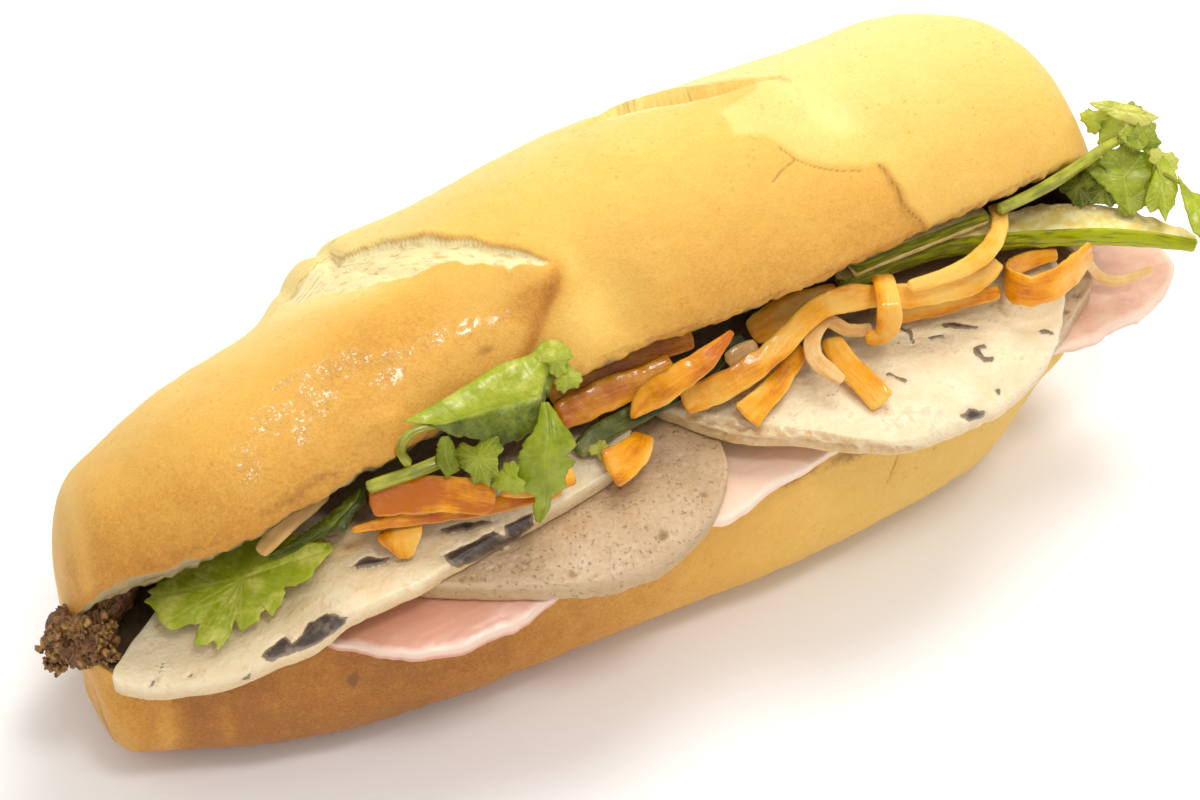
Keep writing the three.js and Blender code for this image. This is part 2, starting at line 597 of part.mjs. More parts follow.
// The outline of the roll at x: a closed loop of [y, z] that runs along the bottom crust from
// back to front, in over the lower cut face, out over the upper one and back over the crown.
function rollSection(x) {
  const u = along(x);
  const lift = profile(BOTTOM_LIFT, u);
  const rise = profile(CUT_HEIGHT, u) - lift;
  const halfWidth = profile(HALF_WIDTH, u);
  const belly = 0.58 * rise;
  const { front, low, inner, lip, hinge, span, out } = pocket(x);
  const up = [out[1], -out[0]];
  const loop = [];
  for (let i = 0; i < BOTTOM_STEPS; i++) {
    const angle = Math.PI * (0.12 - (1.24 * i) / BOTTOM_STEPS);
    const height = Math.sin(angle) < 0 ? belly : 2.3 * (rise - belly);
    const [y, z] = oval(angle, halfWidth, height, 2.7);
    loop.push([ROLL_CENTRE_Y + y, Math.max(0, lift + belly + z - BASE_SQUASH)]);
  }
  for (let i = 0; i <= FACE_STEPS; i++) {
    const s = i / FACE_STEPS;
    loop.push([mix(front[0], low[0], s), mix(front[1], low[1], s)]);
  }
  const edge = [lip[0] - 3 * out[0] - 1.6 * up[0], lip[1] - 3 * out[1] - 1.6 * up[1]];
  for (let i = 0; i <= FACE_STEPS; i++) {
    const s = i / FACE_STEPS;
    loop.push([mix(inner[0], edge[0], s), mix(inner[1], edge[1], s)]);
  }
  const crown = profile(CROWN_THICKNESS, u);
  const middle = [(hinge[0] + lip[0]) / 2, (hinge[1] + lip[1]) / 2];
  const arch = (i) => {
    const [ahead, height] = oval((Math.PI * 0.94 * i) / CROWN_STEPS, span / 2, crown, 2.4);
    return [0, 1].map((k) => middle[k] + out[k] * ahead + up[k] * height);
  };
  let distance = 0;
  for (let i = 0; i <= CROWN_STEPS; i++) {
    const here = arch(i);
    const [before, after] = [arch(Math.max(i - 1, 0)), arch(i + 1)];
    if (i > 0) distance += Math.hypot(here[0] - before[0], here[1] - before[1]);
    const [dy, dz] = [after[0] - before[0], after[1] - before[1]];
    const height = relief(x, distance) / Math.hypot(dy, dz);
    loop.push([here[0] - dz * height, here[1] + dy * height]);
  }
  return loop;
}

// Draws a point of a section in towards the pocket near the rounded ends of the roll.
function rounded(x, [y, z]) {
  const u = along(x);
  const [below, above] = (u < 0 ? LEFT_ROUND : RIGHT_ROUND).map((round) => {
    const past = ((Math.abs(u) - 1) * (ROLL_LENGTH / 2) + round) / (round + 0.4);
    return past > 0 ? Math.sqrt(1 - past * past) : 1;
  });
  const centre = [ROLL_CENTRE_Y - 4, profile(CUT_HEIGHT, u) + 4];
  const k = mix(below, above, smooth((z - centre[1] + 8) / 16));
  return [mix(centre[0], y, k), mix(centre[1], z, k)];
}

function rollGeometry() {
  const rings = [];
  for (let i = 0; i <= STATIONS; i++) {
    const t = (2 * i) / STATIONS - 1;
    const reach = 0.4 * t + 0.6 * Math.sin((Math.PI / 2) * t);
    const x = ROLL_CENTRE_X + (ROLL_LENGTH / 2) * reach;
    rings.push(rollSection(x).map((p) => [x, ...rounded(x, p)]));
  }
  const cap = (ring) =>
    THREE.ShapeUtils.triangulateShape(ring.map(([, y, z]) => new THREE.Vector2(y, z)), []);
  return skin(rings, cap);
}

// ---- Slices ----------------------------------------------------------------------------------

// The height of the lower cut face at x, y; past the crust it falls away as a slice would hang.
function bed(x, y) {
  const at = Math.min(Math.max(x, -98.5), 101.5);
  const { front, low } = pocket(at);
  const [a, b] = [rounded(at, front), rounded(at, low)];
  if (y < a[0]) return a[1] - (a[0] - y) ** 2 / 34;
  return mix(a[1], b[1], (y - a[0]) / (b[0] - a[0]));
}

// The heights of the lower and upper faces of the pocket at x, y.
function room(x, y) {
  const at = Math.min(Math.max(x, -98.5), 100.5);
  const { inner, lip } = pocket(at);
  const [a, b] = [rounded(at, inner), rounded(at, lip)];
  return [bed(x, y), mix(a[1], b[1], (y - a[0]) / (b[0] - a[0]))];
}

// A height that climbs smoothly from one [x, height] to the next.
function climb(x, steps) {
  for (let i = 0; i + 1 < steps.length; i++) {
    const [[x0, h0], [x1, h1]] = [steps[i], steps[i + 1]];
    if (x <= x1) return mix(h0, h1, smooth((x - x0) / (x1 - x0)));
  }
  return steps.at(-1)[1];
}

const ON_HAM = HAM + 2 * SLICE_GAP;
const ON_PORK_ROLL = ON_HAM + PORK_ROLL + SLICE_GAP;
const ripple = (x, y) => 0.25 * Math.sin(0.19 * x + 0.07 * y) * Math.cos(0.16 * y - 0.05 * x);

function slice(outline, thickness, height) {
  const loop = closedCurve(outline, 26);
  const centre = [0, 1].map((k) => loop.reduce((sum, p) => sum + p[k] / loop.length, 0));
  const grid = polarGrid(centre, loop, [0.4, 0.7, 0.87, 1]);
  const under = grid.points.map(([x, y]) => [x, y, bed(x, y) + height(x) + ripple(x, y)]);
  const over = under.map(([x, y, z]) => [x, y, z + thickness]);
  return slab(over, under, grid.faces, grid.edge);
}

// ---- Strips, stalks, leaves ------------------------------------------------------------------

function alongPath(points, step) {
  const count = Math.round((points.length - 1) * step);
  const result = [];
  for (let i = 0; i <= count; i++) {
    const u = (2 * i) / count - 1;
    const e = 1e-3;
    const [a, b] = [pointAt(points, Math.max(-1, u - e)), pointAt(points, Math.min(1, u + e))];
    const direction = new THREE.Vector3(...b.map((v, k) => v - a[k])).normalize();
    result.push({ u, at: new THREE.Vector3(...pointAt(points, u)), direction });
  }
  return result;
}

function strip({ points, widths, thickness, across }) {
  const rings = alongPath(points, points.length > 8 ? 1.6 : 2.4).map(({ u, at, direction }) => {
    const side = new THREE.Vector3();
    if (across) side.set(...across).addScaledVector(direction, -direction.dot(side));
    else side.crossVectors(direction, new THREE.Vector3(...OUTWARD));
    side.normalize();
    const normal = new THREE.Vector3().crossVectors(side, direction);
    const [w, h] = [profile(widths, u) / 2, thickness / 2];
    return [[-w, -h], [-w, h], [w, h], [w, -h]].map(([s, n]) =>
      at.clone().addScaledVector(side, s).addScaledVector(normal, n).toArray(),
    );
  });
  return skin(rings);
}

function stalk({ points, radii }) {
  const rings = alongPath(points, 2).map(({ u, at, direction }) => {
    const side = new THREE.Vector3(...OUTWARD).cross(direction).normalize();
    const normal = new THREE.Vector3().crossVectors(side, direction);
    const r = profile(radii, u);
    return [0, 1, 2, 3, 4, 5].map((i) => {
      const angle = (-i * Math.PI) / 3;
      const p = at.clone().addScaledVector(side, r * Math.cos(angle));
      return p.addScaledVector(normal, r * Math.sin(angle)).toArray();
    });
  });
  return skin(rings);
}

const outward = (p, distance) => p.map((v, k) => v + OUTWARD[k] * distance);

function fanLeaf({ outline, centre, bulge }) {
  const grid = polarGrid(centre, outline, [0.4, 0.75, 1]);
  const under = grid.points.map((p, i) => {
    const [dx, dy] = [p[0] - centre[0], p[1] - centre[1]];
    const wave = 0.18 * bulge * Math.sin(i * 2.4);
    const reach = i === 0 ? 0 : [0.4, 0.75, 1][Math.floor((i - 1) / outline.length)];
    const fold = Math.cos(2 * Math.atan2(dy, dx) + 0.8) * 0.35 * bulge * reach;
    return outward(p, bulge * 0.5 * (1 - reach * reach) + fold + wave * reach);
  });
  return slab(under.map((p) => outward(p, LEAF)), under, grid.faces, grid.edge);
}

function rowLeaf(rows) {
  const under = rows.flatMap(([left, middle, right]) => [
    left,
    outward(left.map((v, k) => (v + middle[k]) / 2), 0.25),
    middle,
    outward(middle.map((v, k) => (v + right[k]) / 2), 0.25),
    right,
  ]);
  const faces = [];
  const last = rows.length - 1;
  for (let r = 0; r < last; r++) {
    for (let c = 0; c < 4; c++) {
      const a = r * 5 + c;
      faces.push([a, a + 5, a + 1], [a + 1, a + 5, a + 6]);
    }
  }
  const edge = [];
  for (let r = 0; r <= last; r++) edge.push(r * 5);
  for (let c = 1; c <= 4; c++) edge.push(last * 5 + c);
  for (let r = last - 1; r >= 0; r--) edge.push(r * 5 + 4);
  for (let c = 3; c >= 1; c--) edge.push(c);
  return slab(under.map((p) => outward(p, LEAF)), under, faces, edge);
}

function wedge({ path, depth, height }) {
  const rings = alongPath(path, 2).map(({ u, at, direction }) => {
    const back = new THREE.Vector3(-direction.y, direction.x, 0).normalize();
    const [d, h] = [profile(depth, u), profile(height, u)];
    const corners = [[0, 0], [-0.5, 0.5 * h], [0.25, h], [d, h - 0.2], [0.75 * d, 0.3 * h]];
    return corners.map(([b, z]) => [at.x + back.x * b, at.y + back.y * b, at.z + z]);
  });
  return skin(rings);
}

// ---- Pate ------------------------------------------------------------------------------------

function pateGeometry(margin = 0) {
  const rings = [];
  const sides = 14;
  for (let i = 0; i <= 20; i++) {
    const u = i / 10 - 1;
    const [x, y, z, ry, rz] = pointAt(PATE, u);
    const lumpy = 0.16 * (1 - smooth((x + 90) / 15)) + 0.03;
    const ring = [];
    for (let k = 0; k < sides; k++) {
      const angle = (-2 * Math.PI * k) / sides;
      const lump = 1 + lumpy * Math.sin(3 * angle + 1.9 * i) * Math.cos(5 * angle - 1.3 * i);
      const across = y + (ry * lump + margin) * Math.cos(angle);
      const [low, high] = room(x, across);
      const up = z + (rz * lump + margin) * Math.sin(angle);
      const inside = Math.min(Math.max(up, low + 0.4 - margin), high - 0.4 + margin);
      ring.push([x - margin * (x < -105 ? 1 : 0), across, inside]);
    }
    rings.push(ring);
  }
  return skin(rings);
}

// ---- Carving ---------------------------------------------------------------------------------

function toManifold(geometry) {
  const welded = mergeVertices(geometry, 1e-4);
  const vertProperties = welded.getAttribute("position").array;
  const triVerts = new Uint32Array(welded.getIndex().array);
  return new wasm.Manifold(new wasm.Mesh({ numProp: 3, vertProperties, triVerts }));
}

function carve(body, tool) {
  const left = toManifold(body).subtract(toManifold(tool)).getMesh();
  const geometry = new THREE.BufferGeometry();
  geometry.setAttribute("position", new THREE.Float32BufferAttribute(left.vertProperties, 3));
  geometry.setIndex(Array.from(left.triVerts));
  return geometry;
}

// ---- Assembly --------------------------------------------------------------------------------

const sandwich = new THREE.Group();
sandwich.name = "sandwich";

function add(name, geometry, color, roughness = 0.6) {
  const mesh = new THREE.Mesh(geometry, new THREE.MeshStandardMaterial({ color, roughness }));
  mesh.name = name;
  sandwich.add(mesh);
}

add("bread", carve(rollGeometry(), pateGeometry(0.45)), 0xe0ad58, 0.7);
add("ham_left", slice(HAM_LEFT, HAM, () => SLICE_GAP), 0xdc9c8e, 0.4);
add("ham_middle", slice(HAM_MIDDLE, HAM, () => SLICE_GAP), 0xe0aaa0, 0.4);
const rightLift = (x) => climb(x, [[88, SLICE_GAP], [100, SLICE_GAP + 1]]);
add("ham_right", slice(HAM_RIGHT, HAM, rightLift), 0xe3aa95, 0.4);
add("pork_roll_left", slice(PORK_ROLL_LEFT, PORK_ROLL, () => ON_HAM), 0xbfa384, 0.6);
const onHamRight = (x) => rightLift(x) + HAM + SLICE_GAP;
add("pork_roll_right", slice(PORK_ROLL_RIGHT, PORK_ROLL, onHamRight), 0xbfa384, 0.6);
const leftClimb = (x) => climb(x, [[-84, SLICE_GAP], [-73, ON_HAM], [-60, ON_PORK_ROLL]]);
add("head_cheese_left", slice(HEAD_CHEESE_LEFT, HEAD_CHEESE, leftClimb), 0xdcc8a2, 0.45);
const onPorkRoll = () => ON_PORK_ROLL;
add("head_cheese_right", slice(HEAD_CHEESE_RIGHT, HEAD_CHEESE, onPorkRoll), 0xe2cfab, 0.45);
add("pate", pateGeometry(), 0x5a3d28, 0.85);
add("cucumber_front", wedge(CUCUMBER_FRONT), 0x8aa83a, 0.35);
add("cucumber_back", wedge(CUCUMBER_BACK), 0x4c6a2a, 0.35);
for (const [name, shape] of Object.entries(STRIPS)) {
  const colors = { carrot: 0xe8861c, daikon: 0xd8b083, cucumber: 0x3f5a2c };
  add(name, strip(shape), colors[name.split("_")[0]], 0.35);
}
for (const [name, shape] of Object.entries(STALKS)) add(name, stalk(shape), 0x88a23c, 0.4);
for (const [name, shape] of Object.entries(ROW_LEAVES)) add(name, rowLeaf(shape), 0x5f8f2c, 0.5);
for (const [name, shape] of Object.entries(FAN_LEAVES)) add(name, fanLeaf(shape), 0x78a436, 0.5);

// The origin is the middle of the underside of the whole sandwich.
const box = new THREE.Box3().setFromObject(sandwich);
const middle = box.getCenter(new THREE.Vector3());
sandwich.position.set(-middle.x, -middle.y, -box.min.z);

export default sandwich;
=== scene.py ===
"""Looks of the banh mi sandwich: crust, crumb, sliced meats, shreds and herbs around its CAD frame."""
import math

import bmesh
import bpy
import numpy as np
from mathutils import Matrix, Vector


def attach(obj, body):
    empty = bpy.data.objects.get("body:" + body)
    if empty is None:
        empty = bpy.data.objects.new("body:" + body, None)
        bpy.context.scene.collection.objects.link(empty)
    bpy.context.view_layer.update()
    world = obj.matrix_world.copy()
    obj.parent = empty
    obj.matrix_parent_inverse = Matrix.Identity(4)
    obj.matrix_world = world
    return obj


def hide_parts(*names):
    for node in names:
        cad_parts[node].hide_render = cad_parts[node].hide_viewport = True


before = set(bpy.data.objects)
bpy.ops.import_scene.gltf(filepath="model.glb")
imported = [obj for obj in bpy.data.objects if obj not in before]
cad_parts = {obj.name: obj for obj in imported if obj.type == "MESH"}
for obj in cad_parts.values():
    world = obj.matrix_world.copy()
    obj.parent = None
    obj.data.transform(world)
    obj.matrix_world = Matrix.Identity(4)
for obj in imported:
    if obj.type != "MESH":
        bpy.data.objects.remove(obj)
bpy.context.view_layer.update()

bl_info = {
    "name": "Banh Mi Sandwich",
    "version": (1, 0, 0),
    "blender": (4, 5, 0),
    "location": "3D View > Sidebar > Sandwich",
    "description": "Builds a filled, split bread roll piece by piece around its CAD frame",
    "category": "Object",
}

# Shapes are worked out in millimetres in the roll's own coordinates: X along the roll, the open
# side towards -Y, Z up. TO_FRAME moves them to the frame.
TO_FRAME = np.array([-3.875, 2.830, 0.0])
# Seen from the side that the loose fillings face: across, up and towards the viewer.
VIEW_AXES = np.array([[0.883, -0.469, 0], [0.332, 0.624, 0.707], [-0.332, -0.624, 0.707]])
OUTWARD = np.array([-0.33, -0.62, 0.71])
LEAF = 0.5  # thickness kept for a leaf

# ---- The roll, at nine evenly spaced places from its left end to its right end ----------------
ROLL_LENGTH = 206.0
ROLL_CENTRE = (1.5, -1.0)
BASE_FROM = -1.12  # half turns from the back to where the lower crust meets the cut
BASE_POWER = 2 / 2.7
BELLY = 0.58  # share of the lower half's height below its widest place
SHOULDER = 2.3  # how far its oval would go on above that
CROWN_TURN = 0.94 * math.pi  # how far round its oval the crown goes from the lip to the hinge
CROWN_POWER = 2 / 2.4
HALF_WIDTH = [17, 27, 32, 33.5, 34, 34.5, 32, 27, 22]
CUT_HEIGHT = [28, 31, 34, 35, 36, 36, 36, 35, 33]
BOTTOM_LIFT = [6, 1, 0, 0, 0, 0, 0, 1.5, 9]
LIP_Y = [-12, -21, -21.5, -21, -21.5, -21.8, -19.5, -17, -14]
LIP_Z = [43, 54, 61, 64, 65.5, 66, 66, 66, 65]
HINGE_Y = [14, 22, 26, 29, 30, 31, 31, 30, 24]
CROWN_THICKNESS = [13.5, 18.7, 20, 27.3, 31.3, 31.8, 31.5, 30.2, 26.5]
BASE_SQUASH = 1.5  # how much of its underside is pressed flat
HINGE_WEB = 8.0  # bread left uncut in front of the hinge
END_ROUND = ((7, 13), (10, 17))  # rounding below and above the cut, at the left and right ends

# Swellings and hollows of the crust: [x, distance from the lip, half-length, half-width, height].
SWELLINGS = [(-14, 20, 7, 6, 2.2), (-4, 9, 6, 10, -2.4), (39, 34, 6, 5, 1.8), (50, 24, 6, 11, -1.8),
    (76, 50, 11, 10, 1.3), (-70, 22, 22, 14, 0.7), (-40, 68, 12.5, 12, 8.2)]
# The left slash: its two ends as (x, distance from the lip), then how far its upper and lower
# edges lie from the line between them, as (share of its length, distance).
SLASH_ENDS = ((-11.3, 17.5), (-47.0, 53.0))
SLASH_LENGTH = 50
SLASH_REACH = 1.03  # share at which its edges meet
SLASH_UPPER = ((0, 0), (0.06, 0.5), (0.18, 0.2), (0.32, -0.7), (0.44, -1.5), (0.54, -2.7), (0.66, -5),
    (0.78, -5.5), (0.84, -7.1), (0.92, -11), (0.95, -5.4), (0.99, -3.9), (1.03, 0))
SLASH_LOWER = ((0, 0), (0.06, 2.2), (0.14, 4.2), (0.33, 4.9), (0.38, 6.2), (0.46, 8.3), (0.63, 9.3),
    (0.77, 7.1), (0.9, 6.1), (1.03, 0.6))
# The shallow slash on the right, in the same way.
SHALLOW_ENDS = ((44, 37), (4, 58))
SHALLOW_REACH = 0.87  # share at which it has faded out
SHALLOW_UPPER = ((0, 0), (0.13, -0.5), (0.25, -1.2), (0.33, -2.2), (0.42, -4.4), (0.51, -5.6), (0.65, -6.3),
    (0.71, -6), (0.76, 1), (0.86, 6))
SHALLOW_LOWER = ((0, 0.3), (0.13, 2.3), (0.33, 3.5), (0.54, 4.6), (0.65, 5.4), (0.76, 5.6), (0.86, 6.1))

# Lines on the crown as (x, distance from the lip).
CRUST_CRACKS = (
    ((34.1, 23.7), (35.9, 20.5), (37.1, 19.3), (39.6, 17.3), (43, 15.5), (47.3, 13.9)),
    ((35.8, 20.4), (32.5, 19.5), (30.2, 18.4)),
)
CRUST_STEP = ((50.8, 13.6), (51.6, 12.3), (51.8, 10.4), (52.5, 8.6), (52.5, 6.1), (53.6, 4), (55.4, 1.6),
    (56.2, 0))
RIGHT_RIDGE = ((45, 37.6), (42.8, 33), (41.5, 29))
RIGHT_CREASE = ((44.5, 31.5), (48, 25))
PALE_ZONE = ((29, 36), (28, 29), (33, 26.5), (35, 23), (37, 20), (41, 17), (47.5, 14.7), (52, 13.5),
    (52.5, 10.5), (53.5, 8), (53.6, 5), (55.5, 2.5), (58, -2), (116, -2), (116, 85), (24, 85), (30, 60),
    (31, 50), (40, 42), (37, 36))
FLAP_RIDGE = ((-11, 17.8), (-14, 14), (-18, 10), (-22, 5.5), (-24, 0))
CRUMB_TEAR = ((-37, 46), (-36.3, 38), (-34.8, 32), (-32.4, 28.4))
# Ridges, creases and cracks of the crown: a line, its width, and how far it stands out.
CROWN_LINES = (
    (RIGHT_RIDGE, 1.7, 0.9), (RIGHT_CREASE, 2.6, -0.9), *[(line, 0.4, -0.2) for line in CRUST_CRACKS],
    (CRUMB_TEAR, 0.6, -0.7), (((-38, 52), (-37, 60), (-39, 72)), 1.8, -1.3),
    (((-46, 54), (-45, 62), (-48, 70)), 1.6, -1.0),
)
LEFT_CREASE = ((-93.6, 32), (-96.5, 15), (-98, 4))
# Cracks of the lower crust as (x, distance down from the cut).
LOWER_CRACKS = (((46.5, 1), (46, 7), (43, 16)), ((60, 2), (58.5, 9), (53, 14)), ((40, 0), (38, 4)))
# Brown marks, some of them painted shade in folds of the crust: (x, distance from the lip, half-length,
# half-width, strength).
CROWN_MARKS = [(-28, 9, 2.2, 1.2, 0.5), (-34, 10, 5, 2, 0.2), (-48, 10, 5, 3, 0.15),
    # These three are painted shade in folds near the upper end of the left slash.
    (-45.5, 55, 3, 1.3, 0.45), (-38.5, 54, 2.2, 2.6, 0.45), (-34.5, 60, 1.6, 1.6, 0.4),
    (43, 35, 1.6, 2.5, 0.35), (-63, 2.5, 10, 2, 0.45), (-84, 2.5, 8, 1.6, 0.35)]
LOWER_MARKS = [(-62, 10.5, 1.1, 1.6, 1.3), (-61.4, 8, 0.6, 0.7, 0.8), (-99, 21, 2, 3, 0.5),
    (22, 2.5, 9, 2, 0.55), (36, 3, 10, 2.4, 0.6), (50, 3.5, 5, 2, 0.45), (60, 6, 3, 3, 0.3),
    (5, 3, 6, 2, 0.35), (-88, 8, 6, 8, 0.25), (-70, 16, 9, 5, 0.15)]
# Wet places, in the same way.
SHINE = [(-58, 20.5, 3.5, 1.2, 1), (-47.5, 16, 3, 1.4, 1), (-42, 14.5, 3.5, 1.6, 1),
    (-35, 14.6, 3, 1.4, 1), (-29, 14, 2.5, 1.3, 0.9), (-44, 12, 4, 2, 0.7), (-57, 14, 6, 4, 0.7),
    (-70, 11, 4, 6, 0.5), (-60, 11, 2.5, 3, 0.7), (-24, 13, 3, 2, 0.5), (-52, 18, 7, 3, 0.8),
    (-64, 15, 4, 4, 0.7)]

# ---- The fillings, in the same coordinates -----------------------------------------------------
SLICE_GAP = 0.5  # air between slices, which are as thick as follows
HAM = 1.8
PORK_ROLL = 4
HEAD_CHEESE = 3.5
HAM_LEFT = ((-66, -28.5), (-62.5, -33.5), (-56, -38.5), (-48, -41.5), (-40, -42), (-30.5, -41), (-19, -35),
    (-12, -20), (-15, -2), (-24, 8), (-36, 5), (-56, -2), (-66, -13))
HAM_MIDDLE = ((-9, -27), (-3, -35), (3.5, -39.5), (9.5, -39.5), (15, -38), (22, -37), (29, -35.5),
    (42, -32), (50, -22), (49, -6), (40, 10), (24, 14), (8, 10), (-4, -6))
HAM_RIGHT = ((60, -22), (71, -29.5), (83.5, -31.5), (93.5, -30.5), (103, -28.5), (110, -26), (114, -22),
    (113, -16), (105, -8), (94, 3), (80, 9), (66, 5), (59, -8))
PORK_ROLL_LEFT = ((11, -23), (10.5, -30), (8.5, -34.5), (3, -40), (-2, -42.5), (-8.5, -44.5),
    (-14.5, -44.5), (-21.5, -43.5), (-28, -41.5), (-37, -38), (-44.5, -34), (-50, -29.5), (-53, -19),
    (-50, -4), (-40, 5), (-20, 9), (0, 5), (10, -9))
PORK_ROLL_RIGHT = ((64, -37.5), (72, -36), (79.5, -32.5), (86.5, -28), (91.5, -25), (94.5, -22), (96, -16),
    (94, -7), (86, 2), (70, 7), (52, 7), (35, 1), (29, -14), (36, -27), (50, -35))
HEAD_CHEESE_LEFT = ((-80, -7), (-88, -10), (-94.5, -14.5), (-99.5, -19), (-97.5, -21.5), (-93, -24.5),
    (-87, -27.5), (-79, -30.5), (-70.5, -32.5), (-65.5, -33.5), (-53.5, -34.5), (-42, -33), (-26, -31),
    (-17.5, -29.5), (-8.5, -27), (-3, -19), (-6, -7), (-20, 2), (-44, 2), (-66, 0))
HEAD_CHEESE_RIGHT = ((2.5, -16), (6.5, -24), (10, -28.5), (15.5, -33), (21.5, -36.5), (29, -40.5),
    (37.5, -43.5), (45.5, -44), (52.5, -43.5), (61.5, -42.5), (70, -39.5), (76.5, -35.5), (82, -30),
    (86, -24), (88, -14), (82, -4), (68, 2), (46, 3), (24, 2), (8, -4))
PATE = ((-106.5, -8, 32.5, 1.6, 1.2), (-105, -8, 32.5, 4.8, 2.8), (-101.5, -8.5, 33, 7.2, 4.4),
    (-97, -6.8, 34, 8.4, 5.2), (-91, -3, 35, 8, 5), (-84, 0.5, 35, 7, 4.2), (-77, 4, 35.4, 5.6, 3.4),
    (-68, 7, 36, 4.8, 2.8), (-57, 9, 37.6, 4.4, 2.4), (-46, 10, 38.4, 3.4, 1.6))
# Wedges of cucumber: depths, heights and path.
CUCUMBER_FRONT = (
    (5, 5, 5.5, 6.5, 8, 7.5, 5, 1.6), (3.4, 4, 4.2, 4.2, 4.2, 4.1, 3.8, 3), ((43.8, -13.9, 51.2),
        (56.3, -13.4, 51), (66.7, -14.1, 50.8), (75.9, -16.8, 50.6), (84.6, -20.2, 50.4),
        (93.2, -23.9, 50.2), (101.1, -28.5, 50), (107.9, -33.4, 50)))
CUCUMBER_BACK = (
    (4, 4.5, 4.5, 4, 3.5), (2.8, 3.2, 3.2, 3.1, 2.6), ((44.7, -15.3, 56), (52.6, -15, 56),
        (60.2, -14.8, 56), (67.9, -14.5, 56), (74.6, -14.3, 56)))
